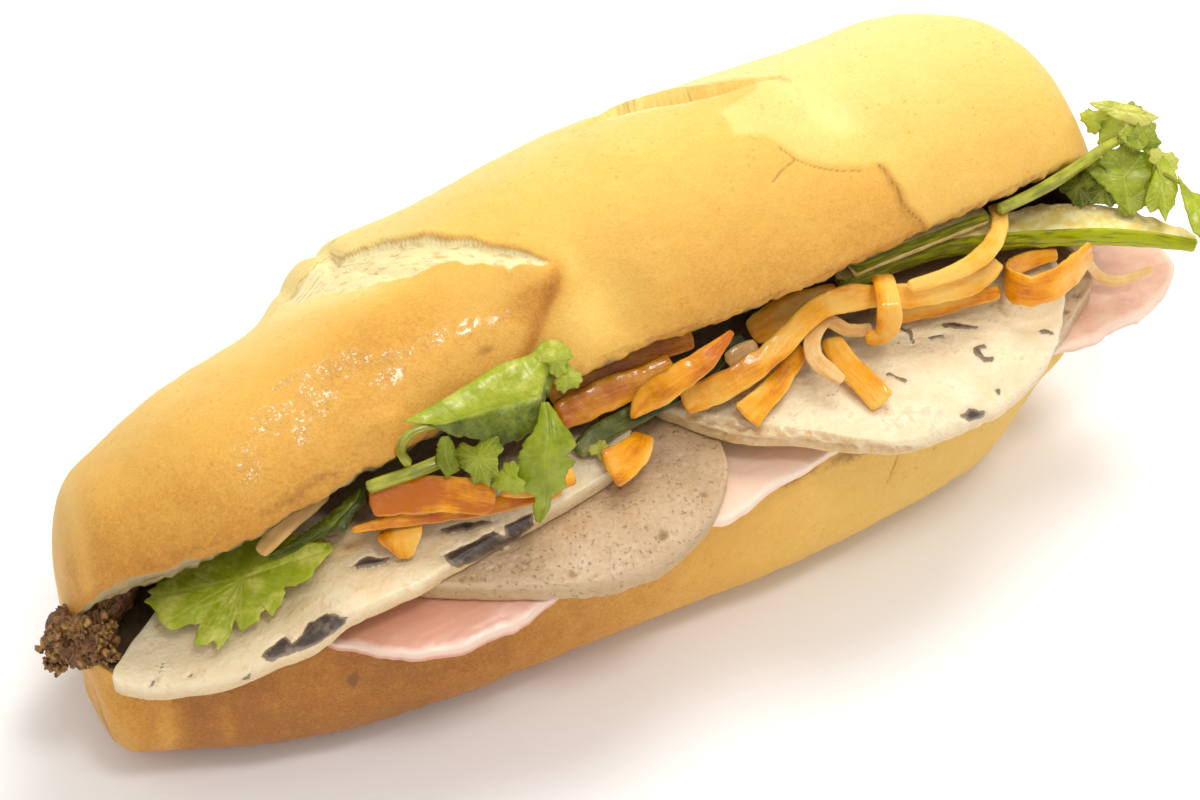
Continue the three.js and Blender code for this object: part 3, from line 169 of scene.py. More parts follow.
# Shreds: thickness, how pale at the two ends (0 deep, 1 pale), widths, path and, on one of them,
# the way that its width lies.
STRIPS = {
    # carrot_1's deep left end is painted shade.
    "carrot_1": (1.6, (-0.25, 0.35), (4, 6, 6.2, 5.4, 3), ((-53.1, -23.2, 54.4), (-47, -24.9, 54.9),
        (-41.1, -28.1, 55.4), (-36.8, -31.4, 55.4), (-34.7, -32.5, 54.9))),
    "carrot_2": (1.3, (0.15, 0.3), (1.2, 2.2, 2.6, 2.6, 2.6, 2.4), ((-56.9, -23.7, 50.5),
        (-50.9, -25.2, 50.9), (-43.9, -27.4, 51.1), (-36.7, -29.5, 51.1), (-29.8, -31.1, 51.1),
        (-22.4, -32, 50.9))),
    "carrot_3": (0.9, (0.55, 0.5), (9, 6.5, 1.8), ((-48.9, -24.9, 48.6), (-49.7, -27.7, 48.4),
        (-49.7, -29.7, 45.7))),
    "carrot_4": (1.6, (0.4, 0.5), (2.8, 3.6, 3.6, 3), ((-33, -30.6, 55), (-29, -31.8, 54.5),
        (-24.6, -32.3, 54), (-19.9, -31.7, 53))),
    "carrot_5": (1.8, (0.15, 0.3), (4, 4.6, 4.6, 4), ((-15.4, -13.5, 53), (-6.9, -12.9, 54),
        (2.5, -13.4, 55), (12.2, -15.2, 56))),
    "carrot_6": (2, (0.2, 0.4), (4.5, 5.6, 5.6, 5, 4.5), ((-16, -17.6, 51.8), (-11.2, -18, 52.8),
        (-6.6, -18.3, 53.8), (-0.6, -19.1, 54.8), (5.9, -19.5, 55.8))),
    "carrot_7": (1.8, (0.25, 0.3), (1.2, 4.2, 4.8, 4.4, 3.2, 1.2), ((-4.7, -23.6, 51.7),
        (-1.5, -23.1, 54.2), (2.5, -24.3, 57.2), (6.5, -24.6, 59.2), (10.3, -24.2, 60.7),
        (15.7, -22.1, 61.7))),
    "carrot_8": (1.5, (0.35, 0.5), (6.2, 5.8, 4.8, 4.2), ((-12.4, -29.3, 48), (-8.3, -28.9, 48.4),
        (-5, -27, 48.2), (-2.8, -24.4, 47.4))),
    "carrot_9": (1.3, (0.3, 1.1), (4, 5.4, 5.3, 4.8, 4.5, 4.3, 4.3, 4.4, 4.4, 4.2, 4, 3.8, 3.4, 2.6), (
        (5.4, -23.5, 50.4), (11.4, -24.3, 51.7), (16.1, -24.8, 53.1), (21.3, -24.3, 54.7),
        (25.9, -23.3, 56.1), (30.4, -21.5, 57.1), (35.2, -20.2, 57.5), (39.7, -20.5, 57.5),
        (44.5, -21.9, 57.3), (49.2, -23.7, 56.7), (55.2, -25, 56.1), (60.6, -25.9, 55.7),
        (65.6, -25.5, 55.7), (70.1, -23.6, 56.1))),
    "carrot_10": (1.2, (0.85, 1), (2.8, 3.1, 3.2, 3.2, 3.1, 2.8, 2.2), ((75.8, -13.3, 59.3),
        (73.9, -17.7, 60.3), (70.5, -21.7, 60.7), (66, -24.7, 60.9), (61.2, -25.9, 60.5),
        (55.2, -25.8, 60.1), (49.4, -25.1, 59.9))),
    "carrot_11": (1.2, (0.5, 0.45), (4.2, 4.6, 4.6, 4.4, 3.4, 2.6), ((47.7, -19.5, 58.7),
        (45.6, -23.7, 60.9), (43.7, -27.8, 60.5), (43.4, -28.9, 57.5), (42.4, -28.4, 54.1),
        (40.3, -26.6, 53.1))),
    "carrot_12": (1.1, (0.55, 0.7), (3.4, 4.4, 4.8, 5, 4.8), ((36.6, -21.8, 50.8), (35.9, -24.7, 50.4),
        (36, -29.2, 49.8), (36.6, -33.8, 49.4), (37.8, -37.7, 47.8))),
    "carrot_13": (1.2, (0.6, 0.5), (5.6, 5.2, 4.4, 3.4, 2.6), ((14, -30.4, 49), (17.9, -28.8, 49.7),
        (22.7, -26.6, 49.9), (27.2, -24, 50.5), (30.8, -22.1, 51.1))),
    "carrot_14": (1.3, (0.6, 0.8), (5, 6, 6, 5, 3.6), ((23.8, -15, 51.6), (27.8, -14.4, 52),
        (32.4, -13.6, 52.2), (37.6, -13.4, 52.2), (42.9, -13.6, 52))),
    "carrot_15": (1.3, (0.5, 0.6), (2.6, 3.6, 3.8, 3.4, 2.6), ((46.6, -20.1, 49.6), (51, -21.7, 50),
        (57, -23, 50.2), (64.3, -24.2, 50.2), (70.1, -25.3, 50))),
    "carrot_16": (1.2, (0.5, 0.6), (3.4, 4.8, 5.4, 5.4, 5.2, 4.6, 3.8, 3.2, 2.6), ((89.5, -25.6, 52.5),
        (84.2, -28.6, 53), (77.9, -30.9, 53.4), (73, -30.7, 53.4), (70.9, -27.9, 53), (72.2, -24.1, 51.8),
        (76.2, -20.9, 50), (81.5, -19.8, 48.9), (86.4, -20.5, 48.6)), (0.3, 0.55, 0.78)),
    "daikon_1": (2, (0.5, 0.4), (2.6, 3.2, 3.2, 3.1, 2.8), ((-71.1, -18, 46.5), (-66.4, -16.9, 49.6),
        (-61, -15.5, 50.9), (-57.3, -14.3, 51.4))),
    "daikon_2": (1.2, (0.6, 0.6), (3, 3.4, 2.4), ((16.1, -19.6, 52.4), (18.9, -19.8, 53),
        (22.5, -19.6, 53.6))),
    "daikon_3": (1.1, (0.4, 0.7), (2.2, 2.4, 2.4, 2.6, 2.8, 2.8, 2.8, 2.2), ((43.7, -23.9, 51.4),
        (39.2, -23, 52.4), (36.3, -20.8, 54), (32.9, -22.3, 54.6), (30.5, -24.6, 54), (30.1, -27.3, 52.6),
        (31.2, -30.4, 51.8), (32.2, -32.7, 51.4))),
    "daikon_4": (1, (0.6, 0.8), (2.2, 2.2, 2.2, 2.2, 2, 1.4), ((91.6, -21.8, 47), (93.3, -22.1, 44),
        (95.2, -22.9, 41.4), (97.6, -24.3, 40.2), (101.5, -24.7, 39.8), (106.7, -24.6, 39.8))),
    "cucumber_left": (1.8, (0.85, 0.3), (3, 3.6, 3.6, 3.4, 3.2, 3.2, 3, 2.6), ((-14.9, -23.2, 47.8),
        (-10.8, -22, 48.6), (-5.4, -21, 48.8), (0.7, -20.6, 49.2), (6.7, -20.5, 50.2), (12, -19.1, 51.2),
        (17.3, -17.2, 52), (21.8, -16.3, 52.6))),
}
# Stalks: radii and path.
STALKS = {
    "stem_left": ((1.15, 1.15, 1.15, 1.1, 1), ((-53.1, -22.4, 57.5), (-50.5, -22.9, 58.1),
        (-45.4, -23.9, 58.9), (-41.4, -24.3, 59.5), (-37.6, -24, 59.7))),
    "stem_middle": ((0.85, 0.8, 0.8, 0.75, 0.7, 0.6), ((-45.6, -22.8, 59.8), (-46.6, -22.7, 62.8),
        (-46.4, -23.5, 66.3), (-44.3, -22.9, 67), (-41.6, -23.1, 67.2), (-39.5, -23.6, 66.9))),
    "stem_right": ((1.1, 1.15, 1.1, 0.95, 0.7), ((73.3, -17.3, 62.1), (82.9, -17.1, 63.1),
        (93.3, -15.4, 64.1), (99, -14.1, 64.5), (104.8, -13.6, 64.7))),
}
# Leaves along a vein: tone, fold (how smooth one half's edge is, and how far the other half is darkened
# with painted shade, as if folded over), and (left, middle, right) places.
ROW_LEAVES = {
    "leaf_middle": (0.72, 0.6, (((-45.5, -21.6, 68.6), (-40.9, -23.8, 67.8), (-40.3, -24.4, 66.5)),
        ((-41.6, -21.4, 69.4), (-38.5, -24.2, 67.7), (-38.9, -24.6, 65)),
        ((-37.7, -21.1, 69.9), (-35.1, -24.5, 67.7), (-36.6, -25.7, 63.5)),
        ((-32.7, -20.7, 70.9), (-31.5, -24.9, 67.8), (-33.5, -27.6, 62.1)),
        ((-28.3, -20.2, 71.8), (-28.6, -25.3, 67.7), (-31.8, -29.6, 61.9)),
        ((-24.9, -20.3, 72), (-25.4, -25.5, 67.8), (-27.6, -29.3, 63.1)),
        ((-21.7, -20.5, 72.1), (-23, -25.8, 67.8), (-24.5, -29.1, 64.5)),
        ((-19.3, -19.9, 73.2), (-20.6, -23.6, 69.2), (-22.7, -27.4, 67)),
        ((-15.9, -20.4, 72.1), (-18.6, -22.6, 69.2), (-21.9, -26.8, 67.5)),
        ((-15.7, -21.8, 70), (-18.4, -23, 68.2), (-20.4, -24.7, 66.8)))),
    "leaf_hanging": (0.42, 0, (((-23.4, -27, 67.4), (-23, -27.6, 67.8), (-22.4, -28, 67.8)),
        ((-26.1, -29.8, 65.4), (-24, -30.6, 66.8), (-21.9, -30.4, 67)),
        ((-28.7, -30.5, 63.6), (-25.1, -32.8, 65.4), (-21.1, -33.1, 65.6)),
        ((-30.5, -31.2, 61.6), (-26.2, -34.1, 63.6), (-20.7, -34.5, 63.6)),
        ((-30.8, -31.3, 60), (-26.8, -35.1, 62), (-21.9, -34.9, 62)),
        ((-31.8, -31.3, 58.6), (-27.2, -35.7, 60.2), (-21.1, -35.6, 60.4)),
        ((-34.4, -28.8, 58), (-27.7, -36, 58.6), (-22.9, -35.8, 58.6)),
        ((-33.8, -31.6, 57), (-27.6, -36.2, 56.6), (-24, -36.9, 56.6)),
        ((-29.3, -34.2, 56), (-27.9, -36.5, 54.6), (-25.9, -36.2, 55)),
        ((-29.6, -35.6, 53.4), (-28.3, -36.6, 53), (-27.1, -37, 53)),
        ((-29.8, -36.9, 51.6), (-29.4, -37.6, 51.6), (-28.9, -37.6, 51.6)))),
    "leaf_lobe": (0.3, 0, (((-40.1, -23.6, 64.2), (-39.3, -23.9, 64.4), (-38.5, -24.1, 64.2)),
        ((-41, -23.7, 62.2), (-39.7, -24.8, 62.8), (-38.1, -25.3, 62.2)),
        ((-41.9, -25.1, 60.2), (-40, -25.8, 60.6), (-38.2, -26.3, 60.4)),
        ((-41.3, -26, 59), (-39.8, -26.7, 59.4), (-38.4, -27.5, 59.2)),
        ((-41, -27.1, 58), (-40.4, -27, 58.1), (-39.7, -26.7, 58.2)))),
    "leaf_dark": (0, 0, (((-52.9, -16.8, 52.1), (-52.3, -17.6, 52.3), (-51.7, -18.2, 52.1)),
        ((-55, -17.4, 51.5), (-53.9, -19.1, 51.9), (-52.6, -20.2, 51.5)),
        ((-57, -18.2, 51.1), (-55.9, -20, 51.3), (-54.4, -20.6, 50.9)),
        ((-58.7, -18.4, 50.5), (-57.4, -20.3, 50.7), (-55.8, -21.8, 50.3)),
        ((-60.9, -18.5, 49.5), (-59.3, -20.8, 49.7), (-57.4, -22.6, 49.5)),
        ((-62.7, -18.5, 48.5), (-60.9, -20.2, 48.9), (-58.7, -20.6, 48.9)),
        ((-64.5, -18.3, 47.5), (-62.5, -20, 47.9), (-60.2, -21, 48.1)),
        ((-66.9, -18.1, 46.5), (-64.9, -19.3, 46.7), (-62.7, -19.9, 47.1)),
        ((-68.1, -17.5, 45.9), (-67.2, -18.8, 45.9), (-65.7, -19.8, 46.1)),
        ((-69.7, -16.9, 45.1), (-69.5, -17.9, 45), (-69, -18.9, 44.9)))),
}
# Leaves round a centre: tone, bulge, centre and outline.
FAN_LEAVES = {
    "leaf_left": (0.78, 1.6, (-74.1, -16.6, 40.7), ((-60.3, -22.8, 46.9), (-64.2, -25.3, 45.5),
        (-67, -25.1, 43.8), (-69, -23.3, 42.6), (-71, -26, 41.3), (-73, -26.8, 40.5), (-73.4, -24, 40.5),
        (-76.2, -26.3, 39.8), (-78.3, -25.9, 38.9), (-78.3, -22.9, 39.1), (-80.9, -26, 37.7),
        (-82.3, -25.9, 37.1), (-82.5, -23.7, 37.2), (-84.6, -23.9, 36.5), (-85.7, -22.7, 36.4),
        (-83.8, -19.2, 37), (-86.6, -18.2, 36.5), (-89.2, -16.1, 36.2), (-88.3, -12.9, 36.5),
        (-88.6, -9.9, 36.7), (-86.7, -8, 37), (-81.9, -6.2, 38.2), (-76.9, -5.6, 40.4), (-71, -7.1, 42),
        (-67.1, -11.4, 44.2), (-63.2, -17.8, 46.2))),
    "leaf_right_top": (1, 1, (104.3, -12.1, 69.1), ((98.8, -7.9, 70.3), (101.5, -8.8, 70.8),
        (103.9, -10.5, 70.4), (106.3, -12.2, 70), (109.3, -15.5, 68.4), (107.7, -15.4, 67.8),
        (106, -15.2, 67.1), (104, -13.5, 67.6), (102.1, -12, 68.2), (100.5, -9.9, 69.2))),
    "leaf_right_back": (0.7, 0.8, (104.9, -7.8, 62), ((102.5, -3.8, 65), (104.1, -5.6, 64),
        (106.1, -7.5, 63), (107.4, -8.9, 62.3), (106.6, -9.7, 61), (104.3, -9.4, 60), (102.5, -8.4, 60),
        (103, -6.7, 62.1))),
    "leaf_right_fold": (0.55, 0.8, (104.4, -15.6, 65.8), ((101.7, -14.3, 65.7), (103.4, -13.3, 66.7),
        (105.2, -12.5, 67.5), (105.7, -14.1, 66.8), (106.4, -15.4, 66.4), (106.2, -17.5, 65.3),
        (104.3, -18.1, 64.6), (102.3, -16.4, 64.9))),
    "leaf_right_wide": (0.6, 1.2, (100.8, -18.3, 59.6), ((95.6, -14.8, 60.1), (97.7, -14.2, 61.2),
        (100.2, -14.6, 61.8), (103.6, -15.3, 62.6), (106.5, -16.8, 62.6), (106.9, -18.7, 61.5),
        (105.4, -20.3, 59.9), (103.3, -21.6, 58.3), (101.1, -22.8, 56.7), (99.3, -23.5, 55.6),
        (98, -21.3, 56.6), (97.3, -18.9, 58), (96.2, -16.8, 59))),
    "leaf_right_pale": (0.68, 1, (105.3, -23.6, 60.4), ((106.6, -17.4, 64.6), (107.9, -19.1, 64),
        (108.2, -21.8, 62.5), (108.1, -24.2, 61), (107.4, -26.1, 59.6), (105.4, -27.7, 58),
        (103.1, -29, 56.4), (102.8, -26.6, 57.8), (101.2, -26.8, 57.1), (101.3, -24.5, 58.6),
        (103.7, -22.3, 60.7), (105.9, -20.7, 62.4))),
    "leaf_right_tip": (0.7, 0.8, (107.4, -32.3, 59.3), ((107.7, -24.6, 62.6), (107.8, -26.7, 61.7),
        (108.5, -29, 60.9), (110.1, -30.5, 60.6), (112.2, -33.2, 59.9), (109.4, -35.9, 58.1),
        (105.4, -37.4, 56.6), (104.6, -34.6, 57.6), (105.2, -31.3, 59.2), (106.3, -28.1, 60.8))),
}

RIM_ROUND = 0.8  # rounding of the cut edges of a slice
SIDE_WAY = (0.47, 0.88)  # how a slice's pattern shifts in plan for each millimetre down its side
OUTSIDE = -9.0  # a signed distance for what lies well outside an outline

# What lies on what: heights over the lower cut face.
ON_HAM = HAM + 2 * SLICE_GAP
ON_PORK_ROLL = ON_HAM + PORK_ROLL + SLICE_GAP
RIGHT_LIFT = lambda x: climb(x, ((88, SLICE_GAP), (100, SLICE_GAP + 1)))
LEFT_CLIMB = lambda x: climb(x, ((-84, SLICE_GAP), (-73, ON_HAM), (-60, ON_PORK_ROLL)))

# Wood ear in the head cheese, as plan outlines.
EARS_LEFT = (
    ((-77, -29.5), (-72, -29), (-71.5, -30.6), (-69.5, -30.6), (-68, -29.5), (-65, -31), (-62.5, -34),
     (-64, -35), (-69, -34), (-72, -32.5), (-76, -32)),
    ((-44, -31), (-38, -31), (-34.5, -30.7), (-33.5, -32.6), (-32.5, -30.6), (-27, -30.3), (-28, -33),
     (-33, -35), (-43, -35.2), (-44, -33.5)),
    ((-58, -25.2), (-55, -25), (-52, -27), (-53, -28), (-57.5, -26.5)),
    ((-42, -26), (-38, -26.5), (-33, -29), (-38, -28.5), (-41, -27.3)),
    ((-95, -23.4), (-93, -22.6), (-90.8, -20.8), (-91.6, -21.9), (-94, -23.8)),
    ((-88.6, -25.3), (-87.4, -25.2), (-87.6, -25.9)),
    ((-50.8, -28.3), (-49.3, -28.3), (-49.6, -29)),
    ((-82, -31), (-79.6, -31.2), (-80.4, -32.4)),
)
EARS_RIGHT = (
    ((50.2, -21.8), (51.2, -22), (52.4, -24), (51.2, -26.8), (50, -27.4), (51.3, -24.2)),
    ((54, -26.4), (57, -26.8), (56.8, -27.7), (54.2, -27.3)),
    ((58, -24.8), (60.3, -25), (64, -27.8), (63.6, -28.6), (61.5, -27.8), (58.6, -25.8)),
    ((42.6, -31), (43.3, -31), (45, -34), (44.4, -34.2)),
    ((60, -32), (62.4, -32.2), (62.6, -33), (61, -33), (60.9, -34.8), (62.4, -35.2), (62, -35.9),
     (60.2, -35.4), (59.6, -33.6)),
    ((50.6, -42.6), (53, -42), (56, -43), (55.4, -44.4), (52, -44.2)),
    ((73.4, -33), (75, -33.2), (76.6, -34.4), (74.4, -34.2)),
    ((81.2, -34), (82.4, -34.2), (82, -35)),
    ((28.2, -25.5), (28.9, -25.6), (28.5, -26)),
    ((36.2, -44.3), (36.9, -44.3), (36.5, -44.9)),
    ((43.7, -44.1), (44.4, -44.1), (44, -44.7)),
    ((59.7, -40.5), (60.4, -40.5), (60, -41.1)),
)
# Soft marks in a slice: (x, y, half-length, half-width, strength).
# The first, broad mark over the whole left slice is painted light: a warm tint lifting the crown's shadow.
STAINS_LEFT = [(-60, -22, 50, 30, 0.45), (-56, -21.5, 6, 3, 0.9), (-66, -24, 6, 3, 0.3),
    (-45, -29, 5, 2, 0.3), (-93, -20, 4, 3, 0.35)]
LUMPS_LEFT = [(-74.5, -31, 3, 1.6, 1), (-66, -32.5, 3, 1.4, 0.8), (-40, -33, 3.4, 1.5, 1),
    (-30.5, -32, 2.4, 1.4, 0.8), (-85, -27, 4, 2.5, 0.6), (-52, -31, 4, 2, 0.5)]
STAINS_RIGHT = [(26, -23.5, 6, 3, 0.5), (62, -27, 3, 1.4, 0.6), (84, -28, 4, 3, 0.2)]
LUMPS_RIGHT = [(75, -33.8, 2, 1, 1), (76.5, -36.5, 1.6, 1, 1), (82, -34.5, 1.4, 0.8, 0.9),
    (30, -33, 7, 4, 0.5), (47, -38, 6, 3.5, 0.6), (64, -37, 5, 3, 0.6), (70, -30.5, 3, 2, 0.5)]
TORN_EDGE = ((0, -13), (6, -21.6), (12, -26.6), (17, -31.2), (23, -35.4), (29, -39.6), (36, -43.6),
    (42, -46.6), (41, -49), (8, -46), (-2, -20))
PORK_HOLES_LEFT = [(-8, -41, 0.8, 0.6, 1), (-25, -40.5, 0.6, 0.5, 0.8), (2, -37, 0.5, 0.5, 0.8)]
PORK_HOLES_RIGHT = [(89, -24.5, 0.8, 0.6, 1), (84.5, -27.5, 0.7, 0.5, 1), (78, -33.6, 0.5, 0.4, 0.7)]

# Fine stalks that carry the leaves at the right end.
LEAF_STALKS = {
    "right_top": ((103.5, -13.7, 65.2), (104.6, -13.2, 66.4), (105, -12.8, 68.4)),
    "right_back": ((102, -13.5, 64.6), (103.6, -11, 63.6), (104.6, -9, 62.3)),
    "right_wide": ((99.5, -14.2, 64), (100.2, -15.6, 62.6), (100.8, -17.4, 60.6)),
    "right_pale": ((104, -14, 64.4), (105.4, -17.6, 64), (105.6, -21.4, 62.2)),
    "right_tip": ((106, -22.6, 61.8), (107.4, -26.4, 61.6), (107.6, -30, 60.6)),
}
# Small leaves between the others: place (across, up and towards the viewer), size, turn in
# degrees, lean and tone.
SMALL_LEAVES = (
    (94.3, 62.3, 18.1, 4.0, 200, .5, .12), (97.6, 66.8, 19.4, 4.4, 60, -.4, .45),
    (102.9, 62.5, 19.2, 4.6, 300, .3, .8), (89.9, 62.6, 17.6, 3.6, 160, .6, .05),
    (104.6, 66.4, 20.8, 3.4, 20, -.5, .95), (95.7, 72.1, 19.0, 3.2, 120, .4, .6),
    (92.8, 74.9, 18.0, 2.6, 150, .5, .75), (99.2, 72.1, 20.6, 3.0, 90, -.3, .7),
    (99.0, 60.2, 20.4, 3.4, 250, .2, .35), (93.0, 65.4, 17.4, 3.2, 100, .3, .3),
    (-5.6, 30.0, 71.4, 3.0, 40, .2, .75), (-3.8, 27.0, 71.2, 2.6, 350, .2, .6),
    (97.7, 75.0, 18.5, 3.8, 150, .4, .6), (101.2, 71.2, 21.2, 3.6, 80, -.3, .35),
    (-18.0, 14.0, 72.6, 4.4, 290, .6, .3), (-13.0, 10.6, 72.8, 3.0, 200, .4, .55),
    (1.5, 14.8, 53.5, 1.9, 60, .3, .9), (-48.2, -3.1, 64.3, 2.6, 320, .3, .85),
    (-44.7, -1.4, 64.3, 2.2, 10, .4, .75), (-52.0, -4.0, 65.0, 1.9, 280, .3, .5),
)
# Crumbs of pate: (centre, reach across, up and towards the viewer, count).
PATE_CLUSTERS = (
    ((-104.8, -9.2, 32.0), (2.8, 4.8, 2.2), 150), ((-99.4, -11.0, 33.0), (4.6, 4.6, 3.0), 230),
    ((-101, -10.4, 35.6), (5.0, 2.0, 2.0), 70),
)
BREAD_CRUMBS = (((-50, -36.6, 30.2), .8), ((-47.4, -36.4, 30.8), .6), ((-43, -36.8, 30), .5))

# Degrees, millimetres, and the ways in which the lamps stand.
CAMERA_AZIMUTH = -28
CAMERA_ELEVATION = 45
CAMERA_DISTANCE = 450
CAMERA_TARGET = np.array([-1.2, 0, 40])
CAMERA_SHIFT = (2.7, -4.5)
CAMERA_LENS = 75
KEY_WAY = np.array([0.55, 0.40, 1.3])
FILL_WAY = np.array([-0.45, -1.0, 1.5])
GLINT_WAY = np.array([0.05, -0.37, 0.93])

# ---- Curves -----------------------------------------------------------------------------------


def smooth(t):
    """Goes smoothly from 0 to 1 as t goes from 0 to 1."""
    s = np.clip(t, 0, 1)
    return s * s * (3 - 2 * s)


def mix(a, b, t):
    """The value a share t of the way from a to b."""
    return a + (b - a) * t


def power(base, exponent):
    """A power that keeps the sign of its base."""
    return np.sign(base) * np.abs(base) ** exponent


def unit(ways):
    """The same ways, of length 1."""
    return ways / np.maximum(np.linalg.norm(ways, axis=-1, keepdims=True), 1e-9)


def circle(count):
    """Angles once round, in a row."""
    return np.linspace(0, 2 * math.pi, count, endpoint=False)[None]


def lengths(points):
    """Distance along a line of points at each of them."""
    return np.concatenate([[0], np.cumsum(np.linalg.norm(np.diff(points, axis=0), axis=1))])


def bell(distance, width):
    """1 at a distance of 0, and falling away over a width."""
    return np.exp(-(distance / width) ** 2)


def spline(a, b, c, d, f):
    """A smooth curve from b, at f = 0, to c, at f = 1, with a before and d after them."""
    return b + 0.5 * f * (c - a + f * (2 * a - 5 * b + 4 * c - d + f * (3 * (b - c) + d - a)))


def profile(values, u):
    """Smooth values at u, from -1 to 1, through equally spaced values."""
    values = np.asarray(values, float)
    t = (np.asarray(u, float) + 1) / 2 * (len(values) - 1)
    i = np.clip(np.floor(t).astype(int), 0, len(values) - 2)
    near = (values[np.clip(i + k, 0, len(values) - 1)] for k in (-1, 0, 1, 2))
    return spline(*near, (t - i).reshape(t.shape + (1,) * (values.ndim - 1)))


def closed_curve(points, count):
    """A smooth closed curve through points, as `count` points."""
    points = np.asarray(points, float)
    n = len(points)
    t = np.arange(count) * n / count
    k = np.floor(t).astype(int)
    return spline(*(points[(k + s) % n] for s in (-1, 0, 1, 2)), (t - k)[:, None])


def spread(count, knots, spacing):
    """Places from the first knot to the last, with the spacing given at each knot kept in ratio."""
    fine = np.linspace(knots[0], knots[-1], 4000)
    rate = 1 / np.interp(fine, knots, spacing)
    total = np.concatenate([[0], np.cumsum((rate[1:] + rate[:-1]) / 2)])
    return np.interp(np.linspace(0, total[-1], count), total, fine)


def grain(u, v, size, seed):
    """Smooth random heights from -1 to 1 over (u, v), in lumps of about `size` mm."""
    size = np.broadcast_to(size, (2,))
    table = np.random.default_rng(seed).uniform(-1, 1, (128, 128))
    a, b = np.asarray(u / size[0], float), np.asarray(v / size[1], float)
    i, j = np.floor(a).astype(int), np.floor(b).astype(int)
    s, t = smooth(a - i), smooth(b - j)
    at = lambda k, m: table[(i + k) % 128, (j + m) % 128]
    return mix(mix(at(0, 0), at(1, 0), s), mix(at(0, 1), at(1, 1), s), t)


def off_line(x, y, points):
    """Distance of each (x, y) from a line through points."""
    best = np.full(np.broadcast(x, y).shape, 1e9)
    for (x0, y0), (x1, y1) in zip(points, points[1:]):
        dx, dy = x1 - x0, y1 - y0
        t = np.clip(((x - x0) * dx + (y - y0) * dy) / (dx * dx + dy * dy), 0, 1)
        best = np.minimum(best, np.hypot(x - x0 - t * dx, y - y0 - t * dy))
    return best


def groove(x, y, points, width):
    """1 on a line through points, and falling away over a width."""
    return bell(off_line(x, y, points), width)


def inside(x, y, points):
    """Signed distance of each (x, y) into an outline, positive inside it."""
    closed = list(points) + [points[0]]
    within = np.zeros(np.broadcast(x, y).shape, bool)
    for (x0, y0), (x1, y1) in zip(closed, closed[1:]):
        crosses = (y0 > y) != (y1 > y)
        within ^= crosses & (x < x0 + (y - y0) * (x1 - x0) / ((y1 - y0) or 1e-9))
    return np.where(within, 1, -1) * off_line(x, y, closed)


def oval(x, y, middle_x, middle_y, half_x, half_y):
    """1 in the middle of a soft oval, and falling away over its half-length and half-width."""
    return np.exp(-((x - middle_x) / half_x) ** 2 - ((y - middle_y) / half_y) ** 2)


def spots(x, y, marks):
    """The strongest of soft oval marks (x, y, half-length, half-width, strength) at each place."""
    best = np.zeros(np.broadcast(x, y).shape)
    for *place, strength in marks:
        best = np.maximum(best, strength * oval(x, y, *place))
    return best


# ---- Meshes -----------------------------------------------------------------------------------


def add_object(name, data):
    """An object in the scene."""
    piece = bpy.data.objects.new(name, data)
    bpy.context.scene.collection.objects.link(piece)
    return piece


def add_piece(name, mesh, material, stands_for=()):
    """A piece of the sandwich, smoothly shaded, that may stand for nodes of the CAD."""
    mesh.shade_smooth()
    mesh.materials.append(material)
    piece = add_object(name, mesh)
    for node in stands_for:
        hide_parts(node)
    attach(piece, "root")


def closed_form(name, grid, fields, material, stands_for):
    """A closed piece: a rolled-up sheet, whose rings are the rows of grid, drawn shut at its ends."""
    rows, around = grid.shape[:2]
    bm = bmesh.new()
    bmesh.ops.create_grid(bm, x_segments=around, y_segments=rows - 1, size=1)
    mesh = bpy.data.meshes.new(name)
    bm.to_mesh(mesh)
    wrapped = lambda values: np.concatenate([values, values[:, :1]], axis=1)
    mesh.vertices.foreach_set("co", ((wrapped(grid) + TO_FRAME) / 1000).ravel())
    for label, values in fields.items():
        values = wrapped(np.broadcast_to(values, (rows, around)))
        layer = mesh.attributes.new(label, "FLOAT", "POINT")
        layer.data.foreach_set("value", values.astype(np.float32).ravel())
    bm.clear()
    bm.from_mesh(mesh)
    seam = [vert for vert in bm.verts if vert.is_boundary]
    bmesh.ops.remove_doubles(bm, verts=seam, dist=1e-7)
    bmesh.ops.recalc_face_normals(bm, faces=bm.faces)
    bm.to_mesh(mesh)
    bm.free()
    add_piece(name, mesh, material, stands_for)


def soften(grid, passes):
    """Rounds the corners of every ring of a grid."""
    for _ in range(passes):
        grid = 0.5 * grid + 0.25 * (np.roll(grid, 1, axis=1) + np.roll(grid, -1, axis=1))
    return grid


def close_ends(grid):
    """Adds a row at each end of a grid, drawn together to one point."""
    ends = [np.broadcast_to(grid[k].mean(axis=0), grid[k].shape)[None] for k in (0, -1)]
    return np.concatenate([ends[0], grid, ends[1]])


# ---- Finishes ---------------------------------------------------------------------------------


class Field:
    """A value that varies over a surface. Arithmetic on it adds Math nodes."""

    def __init__(self, finish, socket):
        self.finish = finish
        self.socket = socket

    def math(self, operation, *values):
        """The outcome of a Math node on the values."""
        return self.finish.node("ShaderNodeMath", {"operation": operation}, dict(enumerate(values)))

    def __add__(self, other):
        return self.math("ADD", self, other)

    def __radd__(self, other):
        return self.math("ADD", other, self)

    def __sub__(self, other):
        return self.math("SUBTRACT", self, other)

    def __rsub__(self, other):
        return self.math("SUBTRACT", other, self)

    def __mul__(self, other):
        return self.math("MULTIPLY", self, other)

    def __rmul__(self, other):
        return self.math("MULTIPLY", other, self)

    def __abs__(self):
        return self.math("ABSOLUTE", self)

    def larger(self, other):
        """The larger of two values."""
        return self.math("MAXIMUM", self, other)

    def ramp(self, low, high, start=0.0, end=1.0):
        """Goes smoothly from start to end as the value goes from low to high."""
        settings = {"interpolation_type": "SMOOTHSTEP"}
        values = {"Value": self, "From Min": low, "From Max": high, "To Min": start, "To Max": end}
        return self.finish.node("ShaderNodeMapRange", settings, values, "Result")


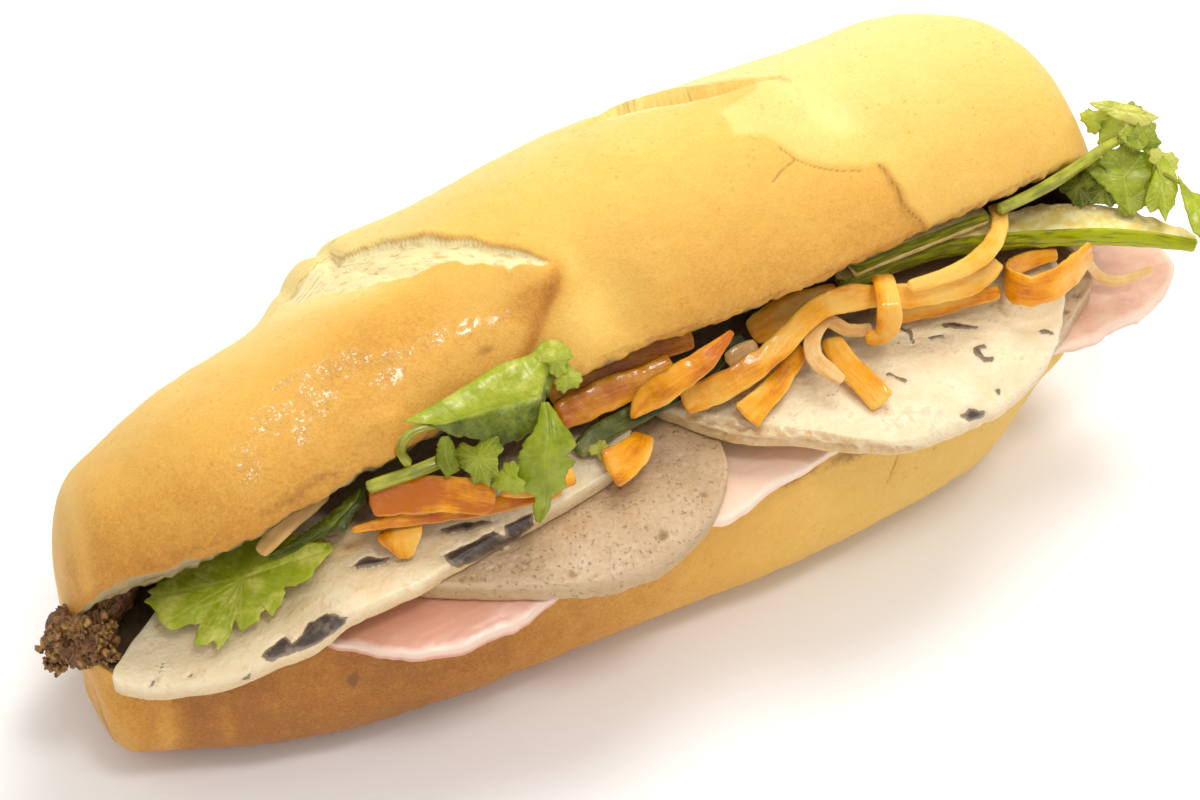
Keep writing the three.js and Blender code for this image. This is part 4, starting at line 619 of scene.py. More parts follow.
class Finish:
    """A material built of nodes on one Principled shader."""

    def __init__(self, name, constants):
        self.material = bpy.data.materials.new(name)
        self.material.use_nodes = True
        self.tree = self.material.node_tree
        self.tree.nodes.clear()
        self.shader = self.tree.nodes.new("ShaderNodeBsdfPrincipled")
        output = self.tree.nodes.new("ShaderNodeOutputMaterial")
        self.tree.links.new(self.shader.outputs["BSDF"], output.inputs["Surface"])
        for label, value in constants.items():
            self.shader.inputs[label].default_value = value
        self.places = self.tree.nodes.new("ShaderNodeTexCoord").outputs["Object"]

    def node(self, kind, settings, values, output=0):
        """Adds a node, with its settings, and the values or links of its sockets."""
        node = self.tree.nodes.new(kind)
        for label, value in settings.items():
            if label == "stops":
                for stop in list(node.color_ramp.elements)[1:]:
                    node.color_ramp.elements.remove(stop)
                for k, (place, color) in enumerate(value):
                    elements = node.color_ramp.elements
                    stop = elements[0] if k == 0 else elements.new(place)
                    stop.position = place
                    stop.color = (*color, 1)
            else:
                setattr(node, label, value)
        named = {socket.identifier: socket for socket in node.inputs}
        for label, value in values.items():
            socket = node.inputs[label] if isinstance(label, int) else named.get(label)
            socket = socket or node.inputs[label]
            if isinstance(value, Field):
                value = value.socket
            if isinstance(value, bpy.types.NodeSocket):
                self.tree.links.new(value, socket)
            elif socket.type == "RGBA" and len(value) == 3:
                socket.default_value = (*value, 1)
            else:
                socket.default_value = value
        found = [s for s in node.outputs if output in (s.identifier, s.name)]
        return Field(self, found[0] if found else node.outputs[0])

    def field(self, name):
        """A value stored in the mesh."""
        return self.node("ShaderNodeAttribute", {"attribute_name": name}, {}, "Fac")

    def vector(self, x, y, z=0.0):
        """A place to look a texture up at."""
        return self.node("ShaderNodeCombineXYZ", {}, {0: x, 1: y, 2: z})

    def noise(self, size, detail=3.0, rough=0.55, at=None):
        """Soft random values around 0.5, in lumps of `size` mm, or of `size` units of `at`."""
        scale = 1 / size if at else 1000 / size
        values = {"Vector": at or self.places, "Scale": scale, "Detail": detail, "Roughness": rough}
        return self.node("ShaderNodeTexNoise", {}, values, "Fac")

    def cells(self, size, at=None):
        """Distance from the nearest of random centres `size` mm apart, in shares of that size."""
        scale = 1 / size if at else 1000 / size
        return self.node("ShaderNodeTexVoronoi", {}, {"Vector": at or self.places, "Scale": scale},
                         "Distance")

    def blend(self, share, low, high):
        """A colour between two colours."""
        values = {"Factor_Float": share, "A_Color": low, "B_Color": high}
        return self.node("ShaderNodeMix", {"data_type": "RGBA"}, values, "Result_Color")

    def stops(self, value, stops):
        """Colours along a value, each stop a (value, colour)."""
        return self.node("ShaderNodeValToRGB", {"stops": stops}, {"Fac": value}, "Color")

    def bump(self, height, distance, strength=1.0, over=None):
        """Surface relief: height times distance in millimetres."""
        values = {"Height": height, "Distance": distance * 0.001, "Strength": strength}
        if over:
            values["Normal"] = over
        return self.node("ShaderNodeBump", {}, values, "Normal")

    def finish(self, color, relief, rough=None, coat=None):
        """Links the shader's sockets and returns the material."""
        links = {"Base Color": color, "Normal": relief, "Roughness": rough, "Coat Weight": coat}
        for label, value in links.items():
            if value:
                self.tree.links.new(value.socket, self.shader.inputs[label])
        return self.material


def moist(soft, depth, tint, coat_rough, specular=0.5):
    """Settings of moist food: share, depth in metres and tint of the light that goes in, and gloss."""
    return {"Subsurface Weight": soft, "Subsurface Scale": depth, "Subsurface Radius": tint,
            "Coat Roughness": coat_rough, "Specular IOR Level": specular}


# ---- The roll ---------------------------------------------------------------------------------


def along(x):
    """Share of the way along the roll at x, from -1 to 1."""
    return (x - ROLL_CENTRE[0]) / (ROLL_LENGTH / 2)


def lower_crust(x, turn):
    """The place (y, z) on the lower crust at x, half turns from where it's widest at the back."""
    u = along(x)
    lift = profile(BOTTOM_LIFT, u)
    rise = profile(CUT_HEIGHT, u) - lift
    belly = BELLY * rise
    angle = math.pi * turn
    high = np.where(np.sin(angle) < 0, belly, SHOULDER * (rise - belly))
    y = ROLL_CENTRE[1] + profile(HALF_WIDTH, u) * power(np.cos(angle), BASE_POWER)
    z = np.maximum(0, lift + belly + high * power(np.sin(angle), BASE_POWER) - BASE_SQUASH)
    return np.stack([y, z], -1)


def pocket(x):
    """The section's corners at x: front and back of the cut's floor, back of its roof, lip and hinge.

    With them comes the way from the hinge to the lip.
    """
    u = along(x)
    cut = profile(CUT_HEIGHT, u)
    lip = np.stack([profile(LIP_Y, u), profile(LIP_Z, u)], -1)
    hinge = np.stack([profile(HINGE_Y, u), cut], -1)
    out = unit(lip - hinge)
    inner = hinge + HINGE_WEB * out
    low = np.stack([inner[..., 0] - 1, cut + 1.4], -1)
    return lower_crust(x, BASE_FROM), low, inner, lip, hinge, out


def rounded(x, point):
    """Draws a point (y, z) of the section at x in towards the pocket near the roll's ends."""
    u = along(x)
    shares = []
    for left, right in END_ROUND:
        reach = np.where(u < 0, left, right)
        past = ((np.abs(u) - 1) * (ROLL_LENGTH / 2) + reach) / reach
        shares.append(np.where(past > 0, np.sqrt(np.clip(1 - past * past, 0, 1)), 1))
    centre = np.stack(np.broadcast_arrays(ROLL_CENTRE[1] - 4, profile(CUT_HEIGHT, u) + 4), -1)
    k = mix(shares[0], shares[1], smooth((point[..., 1] - centre[..., 1] + 8) / 16))
    return centre + (point - centre) * k[..., None]


def slash_place(x, d, ends=SLASH_ENDS):
    """Share of a slash's length, and the distance towards its lower edge, at (x, d)."""
    (x0, d0), (x1, d1) = ends
    length = math.hypot(x1 - x0, d1 - d0)
    ux, ud = (x1 - x0) / length, (d1 - d0) / length
    return ((x - x0) * ux + (d - d0) * ud) / length, (d - d0) * ux - (x - x0) * ud


def slash_depths(x, d):
    """Signed distances into the left slash from its upper and its lower edge, and its share."""
    t, off = slash_place(x, d)
    waver = 0.35 * grain(x, d, 2.2, 11)
    upper = np.interp(t, *zip(*SLASH_UPPER)) + waver
    lower = np.interp(t, *zip(*SLASH_LOWER)) + 0.5 * grain(x, d, 1.6, 12)
    within = np.minimum(t, SLASH_REACH - t) * SLASH_LENGTH
    return np.minimum(off - upper, within), np.minimum(lower - off, within), t


def shallow_depths(x, d):
    """Signed distances into the shallow slash from its upper and its lower edge, and its share."""
    t, off = slash_place(x, d, SHALLOW_ENDS)
    upper = off - np.interp(t, *zip(*SHALLOW_UPPER)) - 0.3 * grain(x, d, 2.2, 13)
    lower = np.interp(t, *zip(*SHALLOW_LOWER)) - off
    return upper, lower, t


def across_at(d, line):
    """Where a line of the crown lies along the roll, at a distance d from the lip."""
    x, distance = np.transpose(line[::-1])
    return np.interp(d, distance, x)


def crown_relief(x, d, slash_depth):
    """How far the upper crust stands out at x, at a distance d over it from the lip."""
    height = 0.22 * grain(x, d, 9, 1) + 0.1 * grain(x, d, 3.2, 2) + 0.05 * grain(x, d, 1.3, 3)
    for *place, rise in SWELLINGS:
        height = height + rise * oval(x, d, *place)
    # The left slash: a crust edge that stands up over open crumb, and a soft flap in front.
    upper, lower, t = slash_depths(x, d)
    fade = np.sqrt(np.sin(math.pi * np.clip(t, 0, 1)))
    share = np.clip(upper / np.maximum(upper + lower, 0.1), 0, 1)
    crumb = (upper > 0) & (lower > 0)
    length = t * SLASH_LENGTH
    string = 0.3 * grain(length, upper, (5, 1.1), 21) + 0.2 * grain(length, upper, (1.8, 0.6), 22)
    floor = -slash_depth * (1 - share ** 1.3) * smooth(upper / 0.9) + string * smooth(upper)
    flap = fade * 0.2 * np.exp(np.minimum(lower, 0) / 6)
    ear = fade * 1.0 * np.exp(np.minimum(upper, 0) / 3.5)
    in_length = (t > 0) & (t < SLASH_REACH)
    height = height + np.where(crumb, mix(ear, flap, smooth(share * 3)) + fade * floor, 0)
    height = height + np.where(in_length & (upper <= 0), ear, 0)
    height = height + np.where(in_length & (upper > 0) & (lower <= 0), flap, 0)
    # The shallow slash, and the ridges, steps and folds of the crust.
    upper, lower, t = shallow_depths(x, d)
    fade = np.sqrt(np.sin(math.pi * np.clip(t / SHALLOW_REACH, 0, 1)))
    dip = mix(-1.9, 0.5, smooth(upper / np.maximum(upper + lower, 0.3)))
    edges = np.where(upper < 0, 1.1 * np.exp(np.minimum(upper, 0) / 5),
                     np.where(lower < 0, 0.5 * np.exp(np.minimum(lower, 0) / 6), dip))
    height = height + fade * edges
    for line, width, rise in CROWN_LINES:
        height = height + rise * groove(x, d, line, width)
    side = x - across_at(d, CRUST_STEP)
    step = smooth((side + 0.4) / 0.8) * np.exp(-np.maximum(side, 0) / 9)
    height = height + 0.9 * step * smooth((17 - d) / 5)
    side = x - across_at(d, FLAP_RIDGE)
    ridge = bell(side, np.where(side < 0, 6, 1.6))
    height = height + 1.1 * ridge * smooth((19 - d) / 4) * smooth(d / 6)
    return height + 0.12 * spots(x, d, SHINE) * grain(x, d, 0.9, 5)


def roll_section(x):
    """The section at x as rows of (y, z), the index where each part of it starts, and the way out.

    Its parts are the bottom, the floor, back and roof of the cut, the verge of the lip, the crown
    and the hinge groove.
    """
    u = along(x)
    front, low, inner, lip, hinge, out = pocket(x)
    up = np.stack([out[..., 1], -out[..., 0]], -1)
    bottom = lower_crust(x, spread(78, [BASE_FROM, -0.45, 0.12], [.8, 1, 3])[None, ::-1])
    line = lambda a, b, n: mix(a, b, np.linspace(0, 1, n)[None, :, None])
    edge = lip - 3 * out - 1.6 * up
    floor = line(front, low, 22)[:, 1:]
    back = line(low, inner, 5)[:, 1:]
    roof = line(inner, edge, 20)[:, 1:]
    verge = line(edge, lip, 6)[:, 1:]
    share = spread(140, [0, 0.72, 1], [.6, .62, 1.6])[None, 1:]
    span = np.linalg.norm(lip - hinge, axis=-1)
    ahead = span / 2 * power(np.cos(CROWN_TURN * share), CROWN_POWER)
    height = profile(CROWN_THICKNESS, u) * power(np.sin(CROWN_TURN * share), CROWN_POWER)
    crown = (lip + hinge) / 2 + out * ahead[..., None] + up * height[..., None]
    closing = line(crown[:, -1:], bottom[:, :1], 5)[:, 1:-1]
    parts = [bottom, floor, back, roof, verge, crown, closing]
    starts = np.cumsum([0] + [part.shape[1] for part in parts])
    return soften(np.concatenate(parts, axis=1), 3), starts, out


def bread(look):
    """The roll: one closed piece, split along its front and joined along its back."""
    x = spread(372, [-101.5, -97, -88, -60, -54, 50, 62, 92, 100, 104.5],
               [.12, .5, .75, .7, .44, .44, .7, .75, .5, .12])[:, None]
    section, starts, out = roll_section(x)
    lip_at, front_at = starts[5] - 1, starts[1] - 1
    x = np.broadcast_to(x, section.shape[:2])
    step = np.linalg.norm(np.diff(section, axis=1), axis=2)
    run = np.pad(np.cumsum(step, axis=1), ((0, 0), (1, 0)))
    over = run - run[:, lip_at:lip_at + 1]  # distance over the crown from the lip
    under = run[:, front_at:front_at + 1] - run  # distance down the lower crust from the cut
    column = np.arange(section.shape[1])[None, :]
    crown_part = (column >= lip_at) & (column < starts[6] + 2)
    lower_part = column <= front_at
    cut_part = ~crown_part & ~lower_part & (column < starts[6])
    # Relief: crust above, crust below, and torn crumb inside the cut.
    crust = crown_relief(x, np.maximum(over, 0), look.slash_depth * 1000)
    lower = 0.25 * grain(x, under, 8, 31) + 0.12 * grain(x, under, 2.6, 32)
    lower = lower + 0.05 * grain(x, under, 1.1, 33)
    for crack in LOWER_CRACKS:
        lower = lower - 0.5 * groove(x, under, crack, 0.6)
    front_part = smooth((under - 1) / 10) * (section[..., 0] < 0)
    lower = lower - 6 * smooth((x - 66) / 26) * front_part
    lower = lower * smooth((section[..., 1] - 0.5) / 4)  # the underside stays flat
    crumb = 0.5 * grain(x, run, 2.4, 41) + 0.35 * grain(x, run, 1.1, 42)
    relief = np.where(crown_part, crust, np.where(lower_part, lower, crumb * cut_part))
    ragged = mix(0.4, 0.04, smooth((x + 50) / 25)) * bell(over, 1.2) + 0.12 * bell(under, 1.2)
    relief = relief + ragged * (0.7 * grain(x, 0 * x, 2.4, 51) + 0.8 * grain(x, over, 0.7, 52))
    way = unit(np.roll(section, -1, axis=1) - np.roll(section, 1, axis=1))
    section = section + np.stack([-way[..., 1], way[..., 0]], -1) * relief[..., None]
    # A torn flake of crust hangs from the lip at the left.
    flake = smooth((over + 2) / 2) * smooth((9 - over) / 3) * spots(x, 0 * x, [(-47.3, 0, 3, 1, 1)])
    section = section + out * (1.1 * flake * crown_part)[..., None]
    section[..., 1] = np.maximum(section[..., 1], 0)
    section = rounded(x, section)
    # The lower half bulges a little past the upper one at the left end.
    bulge = 2.6 * smooth((-84 - x) / 14) * smooth((x + 101.5) / 4) * front_part * lower_part
    grid = np.concatenate([(x - bulge)[..., None], section], axis=2)
    # What the crust's material needs to know at each place.
    upper_in, lower_in, share = slash_depths(x, over)
    slash = np.where(crown_part, np.minimum(upper_in, lower_in), -9)
    inner_edge = np.where(crown_part & (slash > -2), upper_in, 9)
    lines = (*CRUST_CRACKS, CRUMB_TEAR, CRUST_STEP)
    crack = np.where(crown_part, np.minimum.reduce([off_line(x, over, line) for line in lines]), 9)
    lower_crack = np.minimum.reduce([off_line(x, under, line) for line in LOWER_CRACKS])
    crack = np.where(lower_part, lower_crack, crack)
    wrap = 1.5 * smooth((x + 42) / 16)  # the crust curls under the lip, but not at the left
    cut = np.where(cut_part, np.minimum(np.abs(over) - wrap, np.abs(under) - 0.2), -1)
    # At the left end the crumb of the cut shows as a torn band along the lip.
    band = mix(-0.8, 1.7, smooth((-74 - x) / 14)) + 0.6 * grain(x, over, 1.0, 53)
    band = band + 0.5 * grain(x, over, 2.6, 54)
    cut = np.where(crown_part, np.minimum(band - over, 2.0), np.clip(cut, -1, 7))
    lip_line = 0.5 * smooth((x + 24) / 10) * bell(over + 0.3, 0.5)
    marks = np.where(crown_part, spots(x, over, CROWN_MARKS), 0)
    marks = np.maximum(marks, lip_line * (column > starts[3]))
    marks = np.where(lower_part, spots(x, under, LOWER_MARKS), marks)
    bake = crown_bake(x, over, upper_in, lower_in, share)
    # The lower crust: painted shade makes it darker, most to the left; it is paler near the cut and at the
    # left end.
    low_bake = 0.97 - 0.58 * smooth((x + 62) / 120) - 0.08 * smooth((6 - under) / 6)
    low_bake = low_bake - 0.25 * smooth((-86 - x) / 14)
    low_bake = low_bake - spots(x, under, [(-91, 12, 1.5, 12, .16), (-83, 14, 1, 9, .1)])
    # The back of the crown blends into it, which paints shade where the lamp behind lights it most.
    bake = np.where(lower_part, low_bake, mix(bake, low_bake, smooth((over - 62) / 34)))
    fields = {"slash": slash, "length": share * SLASH_LENGTH, "edge": inner_edge, "crack": crack,
              "cut": cut, "mark": marks, "bake": bake,
              "shine": np.where(crown_part, spots(x, over, SHINE), 0)}
    closed_form("bread_roll", grid, fields, crust_finish(look), ["bread"])


def crown_bake(x, over, upper_in, lower_in, share):
    """How brown the upper crust is baked, with painted light and shade; the last three say where the left
    slash lies.
    """
    # Paler towards the top, which paints the light falling there.
    bake = 0.74 - 0.0115 * over + 0.1 * smooth((-48 - x) / 40)
    bake = bake - 0.24 * smooth((inside(x, over, PALE_ZONE) + 0.5) / 1.5)
    bake = bake - 0.14 * groove(x, over, LEFT_CREASE, 1.2)
    shallow_in, shallow_low, place = shallow_depths(x, over)
    hollow = smooth((np.minimum(shallow_in, shallow_low) + 0.5) / 1.5)
    hollow = hollow * ((place > 0) & (place < SHALLOW_REACH))
    # The shallow slash: a paler floor, and a painted shadow along its upper edge.
    bake = bake - 0.2 * hollow + 0.5 * hollow * smooth((1.3 - shallow_in) / 1.2)
    # Painted highlights: pale along the right crease and in the hollows beside the flaps.
    bake = bake - 0.35 * groove(x, over, RIGHT_CREASE, 2.2)
    bake = bake - 0.35 * spots(x, over, [(-8, 7, 7, 9, 1), (-9, 16, 3, 4, .8), (46, 27, 7, 7, .4)])
    # Darker: a patch by the left flap's tip, which is painted shade, a broader patch to its left, and a
    # painted shadow along the flap's ridge.
    bake = bake + spots(x, over, [(-16, 14, 6, 3, .25), (-44, 20, 16, 9, .2)])
    bake = bake + 0.2 * groove(x, over, FLAP_RIDGE, 1.4) * smooth((20 - over) / 3)
    flap = bell(np.minimum(lower_in, 0), 4.5) * smooth((share - 0.35) / 0.25)
    return bake - 0.3 * flap * ((upper_in > 0) & (share < 1.15))


# ---- The pocket and its slices ----------------------------------------------------------------


def cut_face(x, y, corner, right_end):
    """Height at (x, y) of the face between a corner of the pocket and the next, and the first."""
    at = np.clip(x, -98.5, right_end)
    corners = pocket(at)
    a, b = rounded(at, corners[corner]), rounded(at, corners[corner + 1])
    return mix(a[..., 1], b[..., 1], (y - a[..., 0]) / (b[..., 0] - a[..., 0])), a


def bed(x, y):
    """Height of the lower cut face at (x, y); past the crust it falls away as a slice hangs."""
    face, front = cut_face(x, y, 0, 101.5)
    return np.where(y < front[..., 0], front[..., 1] - (front[..., 0] - y) ** 2 / 34, face)


def climb(x, steps):
    """A height that climbs smoothly from one (x, height) to the next."""
    height = np.full(np.shape(x), float(steps[0][1]))
    for (x0, h0), (x1, h1) in zip(steps, steps[1:]):
        height = np.where(x > x0, mix(h0, h1, smooth((x - x0) / (x1 - x0))), height)
    return height


def slice_form(outline, thickness, height, rings, around, ragged, seed):
    """Rows of a slice on the lower cut face, out over its top, round its rim and back below.

    Also returns, of each point, its distance in from the rim, its level over the middle of the
    slice, and the place (px, py) that it takes in a pattern that runs through the slice.
    """
    loop = closed_curve(outline, 1200)
    centre = loop.mean(axis=0)
    loop = np.concatenate([loop, loop[:1]])
    step = np.linalg.norm(np.diff(loop, axis=0), axis=1)
    step = step * np.where(loop[1:, 1] < centre[1] - 3, 1, 0.35)  # fewer points at the hidden back
    total = np.concatenate([[0], np.cumsum(step)])
    at = np.linspace(0, total[-1], around, endpoint=False)
    loop = np.stack([np.interp(at, total, loop[:, k]) for k in (0, 1)], -1)
    ray = loop - centre
    reach = np.linalg.norm(ray, axis=1)
    ray = ray / reach[:, None]
    notch = grain(*loop.T, 4.5, seed) + 0.6 * grain(*loop.T, 1.6, seed + 1)
    reach = reach + ragged * notch
    half = thickness / 2
    share = spread(rings, [0, 0.45, 1], [3, 1, 0.5])[:, None]
    steep = np.linspace(80, 12, 8)
    turn = np.radians(np.concatenate([steep, [6, 0, -6], -steep[::-1]]))[:, None]
    under = np.linspace(1, 0, 14)[:, None]
    inner = reach[None] - RIM_ROUND
    out = inner + RIM_ROUND * power(np.cos(turn), 0.5)
    radius = np.concatenate([share * inner, out, under * inner])
    level = np.concatenate([half + 0 * share, half * power(np.sin(turn), 0.5), 0 * under - half])
    x = centre[0] + radius * ray[:, 0]
    y = centre[1] + radius * ray[:, 1]
    level = np.broadcast_to(level, x.shape)
    ripple = 0.25 * np.sin(0.19 * x + 0.07 * y) * np.cos(0.16 * y - 0.05 * x)
    z = bed(x, y) + height(x) + ripple + half + level
    drop = half - level
    fields = {"inset": reach[None] - radius, "level": level / half, "px": x - SIDE_WAY[0] * drop,
              "py": y - SIDE_WAY[1] * drop}
    return np.stack([x, y, z], -1), fields


def sauce(grid):
    """1 deep in the pocket, where a slice is darkened with painted shade, 0 out at its front."""
    x, y = grid[..., 0], grid[..., 1]
    return smooth((y + 21 - 14 * smooth((-52 - x) / 14) + 0.8 * grain(x, y, 2.5, 9)) / 5)


def raise_top(grid, level, relief):
    """Lifts the top of a slice, and swells its rim, by a relief in millimetres."""
    grid = grid.copy()
    top = smooth((level + 0.2) / 1.2)
    grid[..., 2] += relief * top
    middle = grid[0, 0, :2]
    swell = relief * (1 - np.abs(level)) * (grid[..., 1] < middle[1])
    grid[..., :2] += unit(grid[..., :2] - middle) * swell[..., None]
    return grid


def ham_slice(node, outline, height, tone, material, seed):
    """A thin slice of ham, with faint fibres."""
    grid, fields = slice_form(outline, HAM, height, 60, 300, 0.25, seed)
    at = fields["px"], fields["py"]
    relief = 0.12 * grain(*at, 6, seed) + 0.03 * grain(*at, (2.2, 0.8), seed + 3)
    # A tone for the whole slice; the left slice's low one is painted shade.
    fields["tone"] = tone
    closed_form(node + "_slice", raise_top(grid, fields["level"], relief), fields, material, [node])


def pork_slice(node, outline, height, holes, material, seed):
    """A slice of pork roll, finely pitted."""
    grid, fields = slice_form(outline, PORK_ROLL, height, 80, 400, 0.2, seed)
    at = fields["px"], fields["py"]
    relief = 0.12 * grain(*at, 4, seed) + 0.06 * grain(*at, 1.3, seed + 3)
    pits = np.clip(grain(*at, 0.8, seed + 5) - 0.45, 0, 1) + np.clip(grain(*at, 1.7, 8) - 0.5, 0, 1)
    fields |= {"hole": spots(*at, holes), "sauce": sauce(grid)}
    grid = raise_top(grid, fields["level"], relief - 0.45 * pits - 0.9 * fields["hole"])
    closed_form(node + "_slice", grid, fields, material, [node])


def head_cheese_slice(node, outline, height, ears, stains, lumps, material, seed, torn=None):
    """A slice of head cheese: pale jelly and meat, with dark strips of wood ear set in it."""
    grid, fields = slice_form(outline, HEAD_CHEESE, height, 105, 400, 0.3, seed)
    at = fields["px"], fields["py"]
    depth = np.maximum(np.max([inside(*at, ear) for ear in ears], axis=0), OUTSIDE)
    depth = depth + 0.22 * grain(*at, 1.4, seed + 2) + 0.1 * grain(*at, 0.6, seed + 4)
    relief = 0.16 * grain(*at, 6, seed) + 0.07 * grain(*at, 2.1, seed + 3)
    relief = relief + 0.03 * grain(*at, 0.8, seed + 6) + 0.4 * spots(*at, lumps)
    relief = relief - 0.3 * bell(np.minimum(depth, 0), 0.35) * (depth < 0)
    relief = relief + 0.15 * smooth(depth / 0.5)
    tear = OUTSIDE
    if torn:
        tear = inside(*at, torn)
        relief = relief - smooth(tear / 1.2) * (0.7 + 0.5 * grain(*at, 1.2, seed + 7))
    fields |= {"ear": depth, "tear": tear, "stain": spots(*at, stains), "sauce": sauce(grid)}
    grid = raise_top(grid, fields["level"], relief)
    closed_form(node + "_slice", grid, fields, material, [node])


# ---- Pate, shreds, stalks and leaves ----------------------------------------------------------


def pate_form(name, material):
    """The pate, squeezed between the halves and crumbling out at the left end."""
    x0, y0, z0, ry, rz = profile(PATE, spread(200, [-1, -0.2, 1], [.5, 1, 2])).T[:, :, None]
    angle = circle(120)
    left = 1 - smooth((x0 + 92) / 14)
    round_x, round_y = x0 + 0 * angle, angle * 6
    lump = 0.3 * left + 0.03
    swell = 1 - 0.8 * lump + lump * grain(round_x, round_y, (4, 6), 61)
    swell = swell + 0.9 * lump * (0.5 - np.abs(grain(round_x, round_y, 2.2, 62)))
    swell = swell + 0.6 * lump * (0.5 - np.abs(grain(round_x, round_y, 0.9, 63)))
    # Inside the roll its front lies back, and leaves a dark hollow.
    back = mix(1, 0.4, smooth((x0 + 101) / 6) * smooth((-80 - x0) / 8) * (np.cos(angle) < 0))
    y = y0 + ry * swell * np.cos(angle) * back
    z = z0 + rz * swell * np.sin(angle)
    low, high = bed(x0 + 0 * y, y), cut_face(x0 + 0 * y, y, 2, 100.5)[0]
    free = smooth((-99 - x0) / 4)
    z = mix(np.clip(z, low + 0.15, np.maximum(high - 0.15, low + 0.3)), z, free)
    x = x0 + 0.9 * left * grain(y, z, 1.8, 64)
    grid = close_ends(np.stack([x, y, z], -1))
    closed_form(name + "_spread", grid, {}, material, [name])


def path_frames(points, spacing, across=None):
    """Places about `spacing` mm apart on a smooth path: u, place, side, normal, way and distance."""
    fine = np.linspace(-1, 1, 600)
    length = lengths(profile(points, fine))
    count = max(int(length[-1] / spacing), 8)
    distance = np.linspace(0, length[-1], count)
    u = np.interp(distance, length, fine)
    place = profile(points, u)
    way = unit(profile(points, np.minimum(u + 2e-2, 1)) - profile(points, np.maximum(u - 2e-2, -1)))
    if across is None:
        side = np.cross(way, OUTWARD)
    else:
        side = np.array(across) - way * (way @ np.array(across))[:, None]
    side = unit(side)
    return u, place, side, np.cross(side, way), way, distance


def end_rounding(distance, reach):
    """Share of the full section that is left near the two ends of a path."""
    left = np.minimum(distance, distance[-1] - distance)
    return np.sqrt(np.clip(1 - (1 - np.clip(left / reach, 0, 1)) ** 2.5, 0.0, 1))


def ribbon(node, material, seed):
    """A cut shred: a flat strip along a path, with square edges worn a little round."""
    thickness, tone, widths, points, *lie = STRIPS[node]
    u, place, side, normal, _, distance = path_frames(points, 0.33, *lie)
    width, thick = profile(widths, u) / 2, thickness / 2
    ends = end_rounding(distance, 1.1)
    waver = 0.07 * grain(distance, 0 * distance, 2.4, seed) + 0.1 * grain(distance, 0 * distance, 6, seed)
    width = width * (1 + waver) * mix(0.4, 1, ends) * (ends > 0)
    thick = thick * (1 + 0.08 * grain(distance, 0 * distance, 3.1, seed + 1)) * ends
    angle = circle(28)
    across, up = power(np.cos(angle), 2 / 3.6), power(np.sin(angle), 2 / 3.6)
    along_path = distance[:, None] + 0 * angle
    ridges = 0.09 * grain(along_path, across * width[:, None], (5, 0.5), seed + 2)
    ridges = ridges + 0.08 * grain(along_path, across * width[:, None], 1.3, seed + 3)
    high = (thick[:, None] * up + ridges * up * ends[:, None])[..., None]
    wide = (width[:, None] * (across + 0.05 * grain(along_path, up * 2, 1.2, seed + 4)))[..., None]
    grid = place[:, None] + side[:, None] * wide + normal[:, None] * high
    tones = np.interp(distance, [0, distance[-1]], tone)[:, None]
    tones = tones + 0.4 * grain(along_path, across * 3, (6, 3), seed + 6)
    fields = {"along": along_path, "across": across * width[:, None], "edge": 1 - np.abs(across),
              "tone": tones, "face": up}
    capped_form(node + "_shred", grid, fields, material, [node])


def capped_form(name, grid, fields, material, stands_for):
    """A closed piece whose end rows are drawn together to points that keep their fields."""
    repeat = lambda values: np.pad(np.broadcast_to(values, grid.shape[:2]), ((1, 1), (0, 0)), mode="edge")
    fields = {label: repeat(values) for label, values in fields.items()}
    closed_form(name, close_ends(grid), fields, material, stands_for)


def stalk(name, radii, points, material, stands_for):
    """A ridged stalk along a path."""
    u, place, side, normal, _, distance = path_frames(points, 0.3)
    angle = circle(20)
    radius = (profile(radii, u) * end_rounding(distance, 0.6))[:, None]
    radius = radius * (1 + 0.07 * np.cos(5 * angle) + 0.05 * grain(distance[:, None], angle, (3, 1.5), 1))
    grid = place[:, None] + side[:, None] * (radius * np.cos(angle))[..., None]
    grid = grid + normal[:, None] * (radius * np.sin(angle))[..., None]
    fields = {"along": distance[:, None], "around": angle}
    capped_form(name + "_stalk", grid, fields, material, stands_for)


